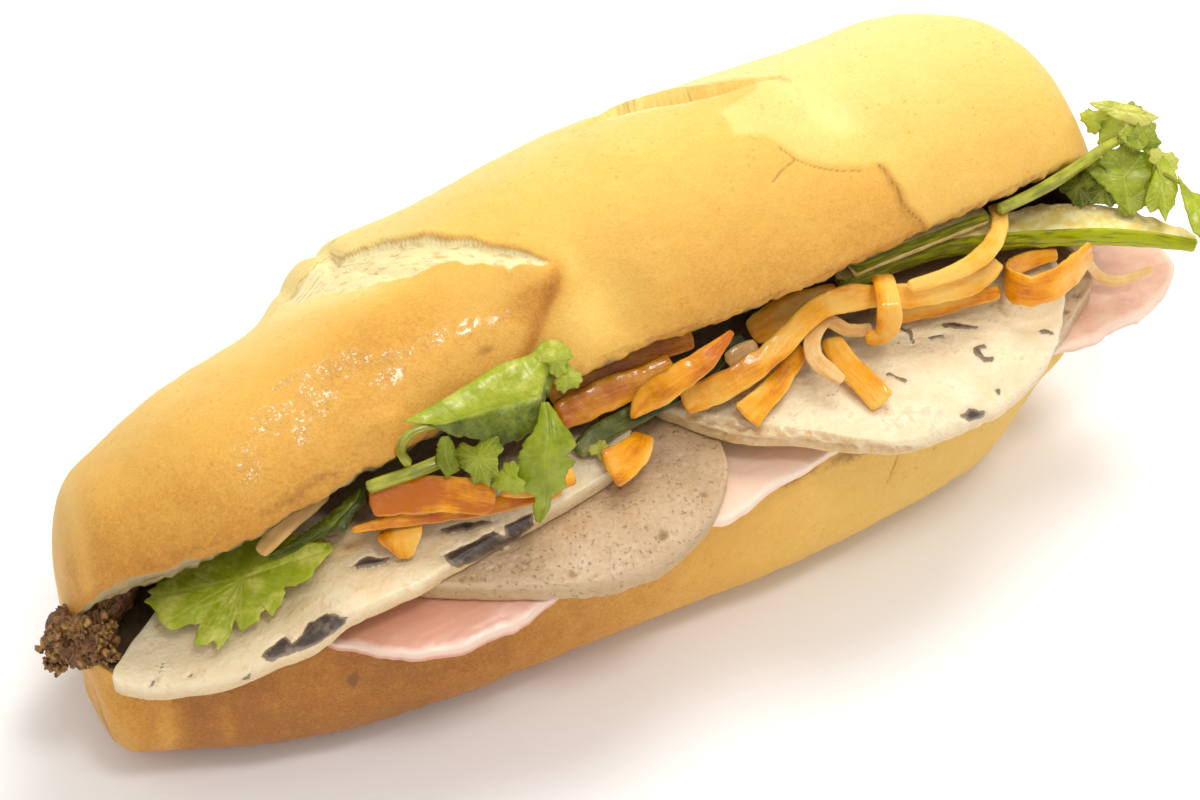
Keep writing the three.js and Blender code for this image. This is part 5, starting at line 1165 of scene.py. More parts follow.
def fan_leaf(name, shape, material, seed, stands_for):
    """A lobed leaf spread from a centre, with veins that run out to its lobes."""
    tone, bulge, centre, outline = shape
    outline, centre = np.asarray(outline, float), np.asarray(centre, float)
    closed = np.concatenate([outline, outline[:1]])
    step = lengths(closed)
    at = np.linspace(0, step[-1], 220, endpoint=False)
    loop = np.stack([np.interp(at, step, closed[:, k]) for k in range(3)], -1)
    loop = soften(loop[None], 1)[0]
    teeth = 1 + 0.05 * grain(at, 0 * at, 1.0, seed) + 0.04 * grain(at, 0 * at, 2.2, seed + 1)
    loop = centre + (loop - centre) * teeth[:, None]
    out = np.linspace(0, 1, 36)
    shares = np.concatenate([out, out[::-1]])
    face = np.concatenate([np.ones(36), -np.ones(36)])
    s = shares[:, None]
    dx, dy = (loop - centre).T[:2]
    fold = np.cos(2 * np.arctan2(dy, dx) + 0.8) * 0.35 * bulge
    lift = bulge * 0.5 * (1 - s * s) + fold * s
    base = centre + (loop - centre)[None] * s[..., None]
    a, b = (base @ axis for axis in VIEW_AXES[:2])
    far = np.linalg.norm(outline - centre, axis=1)
    tips = outline[(far > np.roll(far, 1)) & (far > np.roll(far, -1))]
    middle = VIEW_AXES[:2] @ centre
    vein = np.full(a.shape, 9.0)
    for tip in tips @ VIEW_AXES[:2].T:
        vein = np.minimum(vein, off_line(a, b, [middle, tip]))
        for share in (0.3, 0.5, 0.7):
            for turn in (-0.6, 0.6):
                fork = mix(middle, tip, share)
                la, lb = 0.34 * (tip - middle)
                end = fork + [la * math.cos(turn) - lb * math.sin(turn),
                              la * math.sin(turn) + lb * math.cos(turn)]
                vein = np.minimum(vein, off_line(a, b, [fork, end]) + 0.12)
    lift = lift + 0.22 * grain(a, b, 3.2, seed + 2) * s + 0.1 * grain(a, b, 1.3, seed + 3) * s
    edge = smooth((1 - s) / 0.06)
    lift = lift - 0.12 * bell(vein, 0.3) + LEAF / 2 + face[:, None] * mix(0.04, 0.16, edge)
    grid = base + OUTWARD * lift[..., None]
    fields = {"vein": vein, "rim": (1 - s) * np.linalg.norm(loop - centre, axis=1), "a": a, "b": b,
              "tone": tone}
    closed_form(name + "_blade", grid, fields, material, stands_for)


def row_leaf(node, material, seed):
    """A leaf that lies along rows of (left, middle, right) places, with a vein down its middle."""
    tone, fold, rows = ROW_LEAVES[node]
    u = np.linspace(-1, 1, 90)[:, None]
    left, middle, right = (profile(places, u) for places in np.swapaxes(np.array(rows, float), 0, 1))
    half = np.linspace(-1, 1, 34)
    t = np.concatenate([half, half[::-1]])[None]
    s = np.abs(t)
    face = np.repeat([1, -1], len(half))
    edge = np.where(t[..., None] < 0, left, right)
    run, side = (u + 1) * 30, np.sign(t) * 9
    bite = 0.9 - 0.1 * grain(run, side, 3.4, seed) - 0.08 * grain(run, side, 1.3, seed + 5)
    bite = np.where(side > 0, bite, mix(bite, 1, min(fold * 2, 1)))
    base = middle + (edge - middle) * (s * bite)[..., None]
    a, b = (base @ axis for axis in VIEW_AXES[:2])
    width = np.linalg.norm(edge - middle, axis=2)
    slant = np.abs((a * 0.45 + s * 1.6) % 1 - 0.5) * 2
    vein = np.minimum(s * width, slant * 1.4 + 0.1)
    lift = 0.3 * (1 - (2 * s - 1) ** 2) + 0.2 * grain(a, b, 3, seed + 1) + 0.08 * grain(a, b, 1.1, seed + 2)
    lift = lift - 0.1 * bell(vein, 0.25) + LEAF / 2 + face * mix(0.04, 0.17, smooth((1 - s) / 0.12))
    # The half that keeps its teeth is darkened with painted shade, as if folded over.
    fields = {"vein": vein, "rim": (1 - s) * width, "a": a, "b": b,
              "tone": tone - fold * smooth(t * 3 + 0.3)}
    grid = base + OUTWARD * lift[..., None]
    capped_form(node + "_blade", grid, fields, material, [node])


def cucumber_wedge(node, shape, material, seed, skin_from=0):
    """A wedge of cucumber: skin along its front, pale flesh above, seeds along its back."""
    depths, heights, points = shape
    u, place, _, _, way, distance = path_frames(points, 0.45)
    back = unit(np.stack([-way[:, 1], way[:, 0], 0 * way[:, 0]], -1))
    d, h = profile(depths, u), profile(heights, u)
    ends = end_rounding(distance, 0.8)
    # Its section: corners as (towards the back, up), and how far round the ring each comes.
    corners = np.array([
        [0 * d, 0 * h], [0 * d - 0.5, 0.5 * h], [0 * d + 0.25, h], [d, h - 0.2],
        [0.75 * d, 0.3 * h], [0 * d, 0 * h]]).transpose(2, 1, 0)
    knots = (0, 0.09, 0.2, 0.58, 0.8, 1)
    at = np.linspace(0, 1, 48, endpoint=False)
    ring = np.array([[np.interp(at, knots, line) for line in section] for section in corners])
    ring = soften(ring.transpose(0, 2, 1), 2)
    middle = ring.mean(axis=1, keepdims=True)
    along_path = distance[:, None]
    bumpy = 1 + 0.03 * grain(along_path, at * 20, 1.5, seed)
    ring = middle + (ring - middle) * (ends[:, None] * bumpy)[..., None]
    ring[..., 0] += bell(at - 0.58, 0.06) * 0.6 * grain(along_path, 0 * along_path, 1.6, seed + 1)
    grid = place[:, None] + back[:, None] * ring[..., :1]
    grid[..., 2] += ring[..., 1]
    fields = {"along": along_path, "skin": 1.0 * ((at >= skin_from) & (at < 0.21)),
              "deep": ring[..., 0], "up": ring[..., 1] / h[:, None]}
    capped_form(node + "_wedge", grid, fields, material, [node])


def small_leaf(name, place, material, seed):
    """A small lobed leaf that stands for no node."""
    across, rise, near, size, turn, lean, tone = place
    angle = circle(60)[0]
    reach = 0.62 + 0.38 * np.abs(np.cos(1.5 * angle)) ** 0.8 + 0.07 * np.cos(12 * angle)
    reach = size * reach * (1 - 0.35 * bell(angle - math.pi, 0.5))
    turned = angle + math.radians(turn)
    a, b = reach * np.cos(turned), reach * np.sin(turned)
    outline = np.stack([across + a, rise + b, near + lean * (a - 0.5 * b)], -1) @ VIEW_AXES
    centre = np.array([across, rise, near]) @ VIEW_AXES
    fan_leaf(name, (tone, 0.9, centre, outline), material, seed, ())


def crumble(name, lumps, rough, material, seed):
    """Loose bits in one piece: uneven rounded lumps, each a (place, size) in millimetres."""
    bm = bmesh.new()
    for place, size in lumps:
        made = bmesh.ops.create_icosphere(bm, subdivisions=2, radius=0.5)["verts"]
        at = np.array([vert.co for vert in made])
        seed += 1
        a, b = at[:, 0] * 6 + at[:, 2] * 4, at[:, 1] * 6 - at[:, 2] * 5
        swell = 1 + rough * (grain(a, b, 2.4, seed) + 0.7 * grain(a, b, 1.1, seed + 50))
        at = (at * swell[:, None] * size + place + TO_FRAME) / 1000
        for vert, co in zip(made, at):
            vert.co = co
    mesh = bpy.data.meshes.new(name)
    bm.to_mesh(mesh)
    bm.free()
    add_piece(name, mesh, material)


# ---- Materials --------------------------------------------------------------------------------


def crust_finish(look):
    """Baked crust, golden to brown, with painted light, shade and glints, and open crumb in its slashes and
    inside the cut.
    """
    f = Finish("crust", moist(0.04, 0.002, (1.0, 0.2, 0.1), 0.12, 0.32))
    broad, small, fine, sand = f.noise(13), f.noise(3.4), f.noise(1.0), f.noise(0.45, 4.0, 0.65)
    # Through the stops below, the bake and shading field also paints light and shade on the crust.
    bake = f.field("bake") + (broad - 0.5) * 0.14 + (small - 0.5) * 0.12
    bake = bake + (fine - 0.5) * 0.16 + (sand - 0.5) * 0.34
    crust = f.stops(bake, [
        (0.0, look.pale_crust), (0.35, look.light_crust), (0.65, look.golden_crust),
        (0.85, look.deep_crust), (1.0, look.brown_crust)])
    freckles = f.cells(1.7).ramp(0.12, 0.3, 0.35, 0) * f.noise(6).ramp(0.45, 0.65)
    crust = f.blend(freckles, crust, look.deep_crust)
    # Brown marks, and painted shade in folds.
    mark = (f.field("mark") + (small - 0.5) * 0.5 + (fine - 0.5) * 0.3).ramp(0.18, 0.75)
    crust = f.blend(mark, crust, look.scorched_crust)
    crack = (f.field("crack") + (fine - 0.5) * 0.3).ramp(0.05, 0.42, 0.5, 0)
    crust = f.blend(crack, crust, look.scorched_crust)
    wet = (f.field("shine") + (fine - 0.5) * 0.5).ramp(0.25, 0.6)
    # Painted highlights: pale flecks in the wet places stand in for the glints of the glaze.
    glints = wet * f.noise(0.55, 2).ramp(0.54, 0.62) * f.noise(2.6, 2).ramp(0.45, 0.55)
    crust = f.blend(glints * 0.85, crust, look.wet_glint)
    # Open crumb, pale, with stretched pores.
    stretched = f.vector(f.field("length") * 0.3, f.field("edge"))
    strings = f.noise(1.1, 4, 0.65, at=stretched)
    pores = f.cells(1.3, at=stretched).ramp(0.1, 0.5, 1, 0) * f.noise(2.5).ramp(0.4, 0.55)
    pores = pores.larger(strings.ramp(0.34, 0.44, 1, 0))
    # The pores' bottoms are darker with painted shade.
    crumb = f.blend(pores * 0.75, look.crumb, look.crumb_pore)
    slash = f.field("slash") + (fine - 0.5) * 0.5
    in_slash = slash.ramp(0, 0.5)
    # Brown under the slash's upper edge: the crust's own edge, and painted shade beneath the ear.
    browned = (f.field("edge") + (small - 0.5) * 0.6).ramp(0.1, 0.8, 0.9, 0)
    crumb = f.blend(browned, crumb, look.deep_crust)
    skin = f.blend(in_slash, crust, crumb)
    # The torn faces of the cut, browned at their lips and darkened with painted shade deeper into the
    # pocket.
    cut = f.field("cut") + (fine - 0.5) * 0.5
    soaked = cut.ramp(0.3, 3.2, 0.55, 0.97)
    torn = f.blend(soaked, f.blend(cut.ramp(0.2, 1.2, 0, 0.5), crumb, look.crumb_pore), look.soaked_crumb)
    skin = f.blend(cut.ramp(0.15, 0.7), skin, torn)
    rough = 0.5 + (small - 0.5) * 0.2 + in_slash * 0.25 - wet * 0.25
    relief = f.bump(sand, 0.16, 0.9)
    relief = f.bump(f.noise(0.9, 3.0), wet * 0.3, 1.0, over=relief)
    relief = f.bump(f.noise(1.9, 3.0), 0.22, 0.45, over=relief)
    crater = pores * in_slash.larger(cut.ramp(0.15, 0.7))
    relief = f.bump(1 - crater, 0.14, 0.6, over=relief)
    return f.finish(skin, relief, rough, wet * 0.9)


def ham_finish(look):
    """Pink cooked ham with a pale rim."""
    f = Finish("ham", moist(0.22, 0.003, (1.0, 0.45, 0.3), 0.25))
    grain_at = f.vector(f.field("px") * 0.35, f.field("py"))
    fibres = f.noise(1.1, 4, 0.6, at=grain_at)
    broad = f.noise(9)
    tone = ((broad - 0.5) * 0.9 + (fibres - 0.5) * 0.4 + f.field("tone")).ramp(0.1, 0.9)
    meat = f.blend(tone, look.ham, look.pale_ham)
    rim = (f.field("inset") + (f.noise(2) - 0.5) * 1.4).ramp(0.5, 1.9, 0.7, 0)
    meat = f.blend(rim * f.field("level").ramp(-0.4, 0.7), meat, look.fat)
    relief = f.bump(fibres, 0.06, 0.5)
    relief = f.bump(f.noise(0.6), 0.05, 0.5, over=relief)
    return f.finish(meat, relief, 0.34 + (fibres - 0.5) * 0.3, f.noise(3).ramp(0.4, 0.65, 0.1, 0.5))


def pork_roll_finish(look):
    """Fine, beige steamed pork roll with pits, dark specks and a smooth pale rim."""
    f = Finish("pork_roll", moist(0.15, 0.003, (1.0, 0.6, 0.35), 0.3))
    at = f.vector(f.field("px"), f.field("py"), f.field("level"))
    fine = f.noise(0.9, 4, at=at)
    tone = (0.5 + (f.noise(7, at=at) - 0.5) + (fine - 0.5) * 0.8).ramp(0.2, 0.85)
    meat = f.blend(tone, look.pork_roll, look.pale_pork_roll)
    specks = f.cells(1.9, at=at).ramp(0.06, 0.16, 0.8, 0) * f.noise(4, at=at).ramp(0.45, 0.6)
    pits = f.noise(0.8, 2, at=at).ramp(0.62, 0.74)
    # Pepper specks, and painted shade in the pits and holes.
    meat = f.blend((specks * 0.5).larger(pits * 0.12), meat, look.pork_speck)
    meat = f.blend(f.field("hole") * 0.6, meat, look.pork_speck)
    # Painted shade deep in the pocket.
    meat = f.blend(f.field("sauce") * 0.85, meat, look.sauce)
    rim = (f.field("inset") + (f.noise(2.5, at=at) - 0.5)).ramp(0.35, 1.3, 0.45, 0)
    meat = f.blend(rim * f.field("level").ramp(-0.2, 0.8), meat, look.pale_pork_roll)
    inset, level = f.field("inset"), f.field("level")
    # Painted shade: the cut side is darker, and so is a line along the crease at the rim.
    side = level.ramp(0.2, 0.85, 0.7, 0)
    meat = f.blend(side, meat, look.pork_side)
    crease = inset.ramp(0.35, 0.65) * inset.ramp(0.8, 1.4, 0.4, 0)
    meat = f.blend(crease, meat, look.pork_roll)
    relief = f.bump(1 - pits, 0.4, 0.8)
    relief = f.bump(fine, 0.2, 0.8, over=relief)
    coat = f.noise(2.5, at=at).ramp(0.45, 0.7, 0.05, 0.45)
    return f.finish(meat, relief, 0.38 + (fine - 0.5) * 0.3, coat)


def head_cheese_finish(look):
    """Creamy, moist head cheese: pale meat in clear jelly, dark wood ear and amber stains."""
    f = Finish("head_cheese", moist(0.3, 0.004, (1.0, 0.65, 0.35), 0.18))
    at = f.vector(f.field("px"), f.field("py"), f.field("level") * 0.7)
    broad, small, fine = f.noise(6, at=at), f.noise(2.1, at=at), f.noise(0.7, at=at)
    meat = f.blend(((broad - 0.5) * 1.3 + (small - 0.5) * 0.8 + 0.5).ramp(0.15, 0.85),
                   look.head_cheese, look.pale_head_cheese)
    jelly = (small + (broad - 0.5) * 0.6).ramp(0.58, 0.7, 0, 0.45)
    meat = f.blend(jelly, meat, look.jelly)
    grooves = abs(f.noise(8, 2.0, at=at) - 0.5 + (small - 0.5) * 0.12).ramp(0.0, 0.035, 1, 0)
    grooves = grooves * broad.ramp(0.4, 0.6)
    meat = f.blend(grooves * 0.2, meat, look.jelly)
    # Painted shade: the cut side is darkened in the colour of the jelly.
    cut_side = f.field("level").ramp(-0.6, 1.0, 0.85, 0) * (small + 0.45)
    meat = f.blend(cut_side, meat, look.jelly)
    flecks = f.cells(2.6, at=at).ramp(0.05, 0.14, 0.7, 0) * f.noise(5, at=at).ramp(0.5, 0.62)
    meat = f.blend(flecks, meat, look.wood_ear_edge)
    # Orange pickle stains, and painted warm light over the left slice.
    meat = f.blend((f.field("stain") + (small - 0.5) * 0.6).ramp(0.2, 0.9, 0, 0.75), meat, look.stain)
    rim = (f.field("inset") + (small - 0.5)).ramp(0.2, 1.2, 0.2, 0) * f.field("level").ramp(-0.1, 0.8)
    meat = f.blend(rim, meat, look.pale_head_cheese)
    torn = f.field("tear") + (small - 0.5) * 1.6 + (fine - 0.5) * 0.8
    meat = f.blend(torn.ramp(-0.2, 0.6, 0, 1) * small.ramp(0.3, 0.65, 0.95, 0.35), meat, look.torn_jelly)
    # Painted shade deep in the pocket.
    meat = f.blend(f.field("sauce") * 0.85, meat, look.sauce)
    ear = f.field("ear") + (fine - 0.5) * 0.35
    dark = f.blend(ear.ramp(0.15, 0.8) - small.ramp(0.5, 0.7, 0, 0.7), look.wood_ear_edge, look.wood_ear)
    meat = f.blend(ear.ramp(-0.12, 0.12), meat, dark)
    relief = f.bump(small, 0.6, 0.8)
    relief = f.bump(1 - grooves, 0.12, 0.6, over=relief)
    relief = f.bump(fine, 0.14, 0.7, over=relief)
    return f.finish(meat, relief, 0.3 + (fine - 0.5) * 0.25, small.ramp(0.4, 0.65, 0.1, 0.6))


def pate_finish(look, name, shade):
    """Coarse brown pate, porous, crumbly and moist, with hollows darkened by painted shade."""
    f = Finish(name, moist(0.05, 0.002, (1.0, 0.2, 0.1), 0.3))
    small, fine = f.noise(2.2, 4), f.noise(0.7, 4)
    tone = (0.5 - shade + (small - 0.5) * 1.1 + (fine - 0.5) * 0.9).ramp(0.15, 0.9)
    meat = f.blend(tone, look.dark_pate, look.pate)
    pits = f.cells(1.6).ramp(0.1, 0.45)
    # Painted shade darkens the hollows.
    meat = f.blend((1 - pits) * 0.7, meat, look.dark_pate)
    relief = f.bump(pits, 0.6, 0.8)
    relief = f.bump(small + fine * 0.5, 0.5, 0.8, over=relief)
    return f.finish(meat, relief, 0.55 + (fine - 0.5) * 0.4, small.ramp(0.5, 0.7, 0, 0.35))


def shred_finish(name, deep, bright, pale, soft):
    """Pickled shreds: wet, a little translucent, with fibres along them."""
    f = Finish(name, moist(soft, 0.0025, (1.0, 0.5, 0.2), 0.12, 0.3))
    at = f.vector(f.field("along") * 0.14, f.field("across"), f.field("face") * 0.4)
    fibres = f.noise(0.7, 3, 0.6, at=at)
    blotches = f.noise(3.5)
    tone = f.field("tone") + (fibres - 0.5) * 1.0 + (blotches - 0.5) * 0.8
    flesh = f.stops(tone, [(0.0, deep), (0.5, bright), (1.0, pale)])
    edge = f.field("edge").ramp(0.02, 0.2, 0.35, 0)
    flesh = f.blend(edge, flesh, pale)
    relief = f.bump(fibres, 0.16, 0.8)
    relief = f.bump(f.noise(1.3), 0.25, 0.7, over=relief)
    return f.finish(flesh, relief, 0.3 + (fibres - 0.5) * 0.3, f.noise(1.6).ramp(0.35, 0.65, 0.1, 0.7))


def cucumber_finish(look):
    """Cucumber: streaked green skin, cream flesh and ragged seeds at the back."""
    f = Finish("cucumber", moist(0.06, 0.003, (0.9, 1.0, 0.4), 0.12, 0.2))
    at = f.vector(f.field("along") * 0.12, f.field("up") * 4)
    streaks = f.noise(0.6, 3, at=at)
    lit = f.field("along").ramp(18, 60)
    skin = f.blend(((streaks - 0.5) * 2.6 + 0.35 + lit * 0.6).ramp(0.1, 1), look.cucumber_skin,
                   look.cucumber_bright)
    flesh = f.blend(f.noise(2.4).ramp(0.35, 0.65), look.cucumber_flesh, look.cucumber_pale)
    deep = f.field("deep") + (f.noise(1.2) - 0.5) * 1.6
    seedy = deep.ramp(4.6, 6.6) * f.noise(1.1).ramp(0.4, 0.52)
    flesh = f.blend(seedy * 0.8, flesh, look.cucumber_seed)
    green = (f.field("skin") + (f.noise(0.8) - 0.5) * 0.15).ramp(0.4, 0.6)
    relief = f.bump(f.noise(0.9), 0.15, 0.5)
    relief = f.bump(streaks, 0.08, 0.5, over=relief)
    return f.finish(f.blend(green, flesh, skin), relief, 0.3 + (streaks - 0.5) * 0.3,
                    f.noise(2).ramp(0.35, 0.6, 0, 0.25))


def leaf_finish(look):
    """Coriander leaves: soft green blades with pale veins and darker, drier patches."""
    f = Finish("coriander_leaf", moist(0.2, 0.002, (0.8, 1.0, 0.25), 0.2, 0.35))
    at = f.vector(f.field("a"), f.field("b"))
    broad, fine = f.noise(4, at=at), f.noise(0.8, at=at)
    tone = f.field("tone") + (broad - 0.5) * 1.1 + (fine - 0.5) * 0.3
    blade = f.stops(tone, [(0.0, look.dark_leaf), (0.35, look.leaf), (0.75, look.pale_leaf),
                           (1.0, look.yellow_leaf)])
    vein = f.field("vein") + (fine - 0.5) * 0.12
    blade = f.blend(vein.ramp(0.04, 0.3, 0.3, 0), blade, look.leaf_vein)
    blade = f.blend(f.field("rim").ramp(0.05, 0.5, 0.2, 0), blade, look.dark_leaf)
    relief = f.bump(vein.ramp(0, 0.5), 0.1, look.vein_depth)
    relief = f.bump(fine, 0.14, 0.7, over=relief)
    relief = f.bump(broad, 0.6, 0.6, over=relief)
    return f.finish(blade, relief, 0.36 + (fine - 0.5) * 0.3, broad.ramp(0.4, 0.65, 0.1, 0.5))


def stalk_finish(look):
    """Ridged, moist green stalks."""
    f = Finish("coriander_stem", moist(0.3, 0.002, (0.8, 1.0, 0.25), 0.15))
    at = f.vector(f.field("along") * 0.1, f.field("around"))
    streaks = f.noise(0.8, 3, at=at)
    green = f.blend((streaks + (f.noise(5) - 0.5)).ramp(0.3, 0.75), look.stalk, look.pale_stalk)
    return f.finish(green, f.bump(streaks, 0.12, 0.6), 0.32 + (streaks - 0.5) * 0.3,
                    f.noise(2).ramp(0.4, 0.6, 0.1, 0.6))


def plain_finish(name, low, high, constants, size=0.8, depth=0.15):
    """Two mottled colours over a lightly bumpy surface."""
    f = Finish(name, constants)
    mottle = f.noise(size, 3)
    return f.finish(f.blend(mottle.ramp(0.3, 0.7), low, high), f.bump(mottle, depth, 0.5))


# ---- Settings ---------------------------------------------------------------------------------


def color(name, description, *value):
    """A colour setting."""
    return bpy.props.FloatVectorProperty(
        name=name, description=description, default=value, size=3, subtype="COLOR", min=0, max=1)


class BreadLook(bpy.types.PropertyGroup):
    """Settings of the roll."""

    # Along the bake and shading field these also paint light and shade: the pale ones the lit top and
    # highlights, the brown ones the shaded lower crust.
    pale_crust: color("Pale crust", "Crust that the oven hardly reached", 0.92, 0.72, 0.26)
    light_crust: color("Light crust", "Lightly baked crust on the crown", 0.86, 0.55, 0.125)
    golden_crust: color("Golden crust", "Well baked crust", 0.76, 0.40, 0.07)
    deep_crust: color("Deep crust", "Crust on the way to brown", 0.56, 0.23, 0.03)
    brown_crust: color("Brown crust", "The darkest crust, low on the roll", 0.36, 0.13, 0.02)
    # Also paints the shade in folds of the crust.
    scorched_crust: color("Scorched crust", "Cracks, torn edges and stains", 0.26, 0.10, 0.025)
    crumb: color("Crumb", "Open crumb in the slashes and the cut", 0.90, 0.77, 0.40)
    # Painted shade in the pores, and a little way into the cut.
    crumb_pore: color("Crumb pores", "The bottoms of the pores", 0.68, 0.44, 0.15)
    # Colour of the painted highlights on the wet glaze.
    wet_glint: color("Wet glint", "Bright flecks of the wet glaze on the crust", 0.97, 0.93, 0.78)
    # Painted shade deep inside the cut.
    soaked_crumb: color("Soaked crumb", "Crumb stained by the fillings", 0.06, 0.032, 0.012)
    slash_depth: bpy.props.FloatProperty(
        name="Slash depth", description="How deep the left slash opens into the crumb",
        default=0.0017, min=0, max=0.006, unit="LENGTH")


class MeatLook(bpy.types.PropertyGroup):
    """Settings of the ham, pork roll, head cheese and pate."""

    ham: color("Ham", "Lean ham", 0.70, 0.34, 0.22)
    pale_ham: color("Pale ham", "Paler streaks of the ham", 0.93, 0.66, 0.50)
    fat: color("Fat", "Fat along the rim of the ham", 0.92, 0.74, 0.60)
    pork_roll: color("Pork roll", "Steamed pork roll", 0.52, 0.34, 0.18)
    # Painted shade on the cut side of a slice.
    pork_side: color("Pork roll side", "Cut side of the pork roll", 0.52, 0.34, 0.15)
    pale_pork_roll: color("Pale pork roll", "Paler parts of the pork roll", 0.64, 0.46, 0.29)
    # Pepper specks, and painted shade in pits and holes.
    pork_speck: color("Pork roll specks", "Pepper and pits in the pork roll", 0.22, 0.11, 0.05)
    head_cheese: color("Head cheese", "Head cheese meat", 0.84, 0.67, 0.41)
    pale_head_cheese: color("Pale head cheese", "Paler meat and fat", 0.90, 0.78, 0.55)
    # Also paints the shade on a slice's cut side.
    jelly: color("Jelly", "Clear jelly between the meat", 0.70, 0.50, 0.25)
    torn_jelly: color("Torn jelly", "Jelly at the torn edge", 0.60, 0.38, 0.15)
    # Also paints warm light over the left slice.
    stain: color("Stain", "Orange stain of the pickles", 0.92, 0.56, 0.22)
    # Painted shade on slices deep in the pocket.
    sauce: color("Sauce", "Slices darkened deep in the pocket", 0.13, 0.06, 0.018)
    wood_ear: color("Wood ear", "Strips of wood ear mushroom", 0.075, 0.050, 0.040)
    wood_ear_edge: color("Wood ear edge", "The browner edges of the wood ear", 0.26, 0.19, 0.12)
    pate: color("Pate", "Coarse liver pate", 0.50, 0.26, 0.07)
    # Also paints the shade in the hollows.
    dark_pate: color("Dark pate", "Hollows of the pate", 0.12, 0.045, 0.015)


class ShredLook(bpy.types.PropertyGroup):
    """Settings of the carrot, daikon and cucumber."""

    # Also the painted shade at carrot_1's left end.
    deep_carrot: color("Deep carrot", "The deepest orange", 0.55, 0.14, 0.003)
    carrot: color("Carrot", "Carrot", 0.88, 0.36, 0.006)
    pale_carrot: color("Pale carrot", "Carrot bleached by the vinegar", 0.92, 0.53, 0.10)
    deep_daikon: color("Deep daikon", "Daikon stained by the carrot", 0.55, 0.30, 0.06)
    daikon: color("Daikon", "Daikon", 0.80, 0.46, 0.15)
    pale_daikon: color("Pale daikon", "Clear daikon", 0.90, 0.60, 0.27)
    cucumber_skin: color("Cucumber skin", "Cucumber skin", 0.15, 0.16, 0.003)
    cucumber_bright: color("Bright skin", "Lit, paler cucumber skin", 0.42, 0.45, 0.004)
    cucumber_flesh: color("Cucumber flesh", "Cucumber flesh", 0.80, 0.60, 0.16)
    cucumber_pale: color("Pale flesh", "Palest cucumber flesh", 0.93, 0.80, 0.38)
    cucumber_seed: color("Cucumber seeds", "Seeds and the browned back edge", 0.55, 0.36, 0.12)
    deep_rind: color("Deep rind", "Darkest cut cucumber rind", 0.010, 0.020, 0.003)
    rind: color("Rind", "Cut cucumber rind", 0.035, 0.055, 0.006)
    pale_rind: color("Pale rind", "Rind where the flesh shows through", 0.20, 0.21, 0.04)


class HerbLook(bpy.types.PropertyGroup):
    """Settings of the coriander."""

    dark_leaf: color("Dark leaf", "Shaded and folded leaf", 0.06, 0.075, 0.003)
    leaf: color("Leaf", "Leaf", 0.23, 0.28, 0.006)
    pale_leaf: color("Pale leaf", "Lit, thin leaf", 0.37, 0.42, 0.018)
    yellow_leaf: color("Yellow leaf", "Yellowing leaf", 0.66, 0.64, 0.13)
    leaf_vein: color("Leaf vein", "Veins of the leaves", 0.50, 0.52, 0.12)
    stalk: color("Stalk", "Stalks", 0.22, 0.23, 0.010)
    pale_stalk: color("Pale stalk", "Paler streaks of the stalks", 0.48, 0.48, 0.05)
    vein_depth: bpy.props.FloatProperty(
        name="Vein depth", description="Strength of the relief of the leaf veins",
        default=0.4, min=0, max=1, subtype="FACTOR")


class StudioLook(bpy.types.PropertyGroup):
    """Settings of the floor and the lights."""

    floor: color("Floor", "The pale floor", 0.95, 0.945, 0.94)
    sky: color("Surround", "The light from all around", 1.0, 0.98, 0.95)
    sky_strength: bpy.props.FloatProperty(
        name="Surround strength", description="Brightness of the surround", default=0.64, min=0)
    key_power: bpy.props.FloatProperty(
        name="Key light", description="Power of the large light behind the roll", default=5.0,
        min=0, unit="POWER")
    fill_power: bpy.props.FloatProperty(
        name="Fill light", description="Power of the soft light in front", default=1.2, min=0,
        unit="POWER")
    glint_power: bpy.props.FloatProperty(
        name="Glint light", description="Power of the small lamp that gives wet places their glints",
        default=1.8, min=0, unit="POWER")


# ---- Operators --------------------------------------------------------------------------------


class SandwichOperator:
    """What the operators share: each builds its own pieces of the scene."""

    bl_options = {"REGISTER", "UNDO"}

    def execute(self, context):
        """Builds the pieces."""
        self.build(context.scene)
        return {"FINISHED"}


class SANDWICH_OT_bread(SandwichOperator, bpy.types.Operator):
    """Builds the split roll with its slashed crust"""

    bl_idname = "sandwich.bread"
    bl_label = "Bread"

    def build(self, scene):
        bread(scene.bread_look)


class SANDWICH_OT_ham(SandwichOperator, bpy.types.Operator):
    """Lays the slices of ham on the lower half"""

    bl_idname = "sandwich.ham"
    bl_label = "Ham"

    def build(self, scene):
        material = ham_finish(scene.meat_look)
        flat = lambda x: SLICE_GAP + 0 * x
        # The left slice's deep tone is painted shade, as it lies in the shade of the head cheese.
        ham_slice("ham_left", HAM_LEFT, flat, 0.1, material, 100)
        ham_slice("ham_middle", HAM_MIDDLE, flat, 0.9, material, 110)
        ham_slice("ham_right", HAM_RIGHT, RIGHT_LIFT, 0.55, material, 120)


class SANDWICH_OT_pork_roll(SandwichOperator, bpy.types.Operator):
    """Lays the slices of pork roll on the ham"""

    bl_idname = "sandwich.pork_roll"
    bl_label = "Pork Roll"

    def build(self, scene):
        material = pork_roll_finish(scene.meat_look)
        pork_slice("pork_roll_left", PORK_ROLL_LEFT, lambda x: ON_HAM + 0 * x, PORK_HOLES_LEFT,
                   material, 130)
        pork_slice("pork_roll_right", PORK_ROLL_RIGHT, lambda x: RIGHT_LIFT(x) + HAM + SLICE_GAP,
                   PORK_HOLES_RIGHT, material, 140)


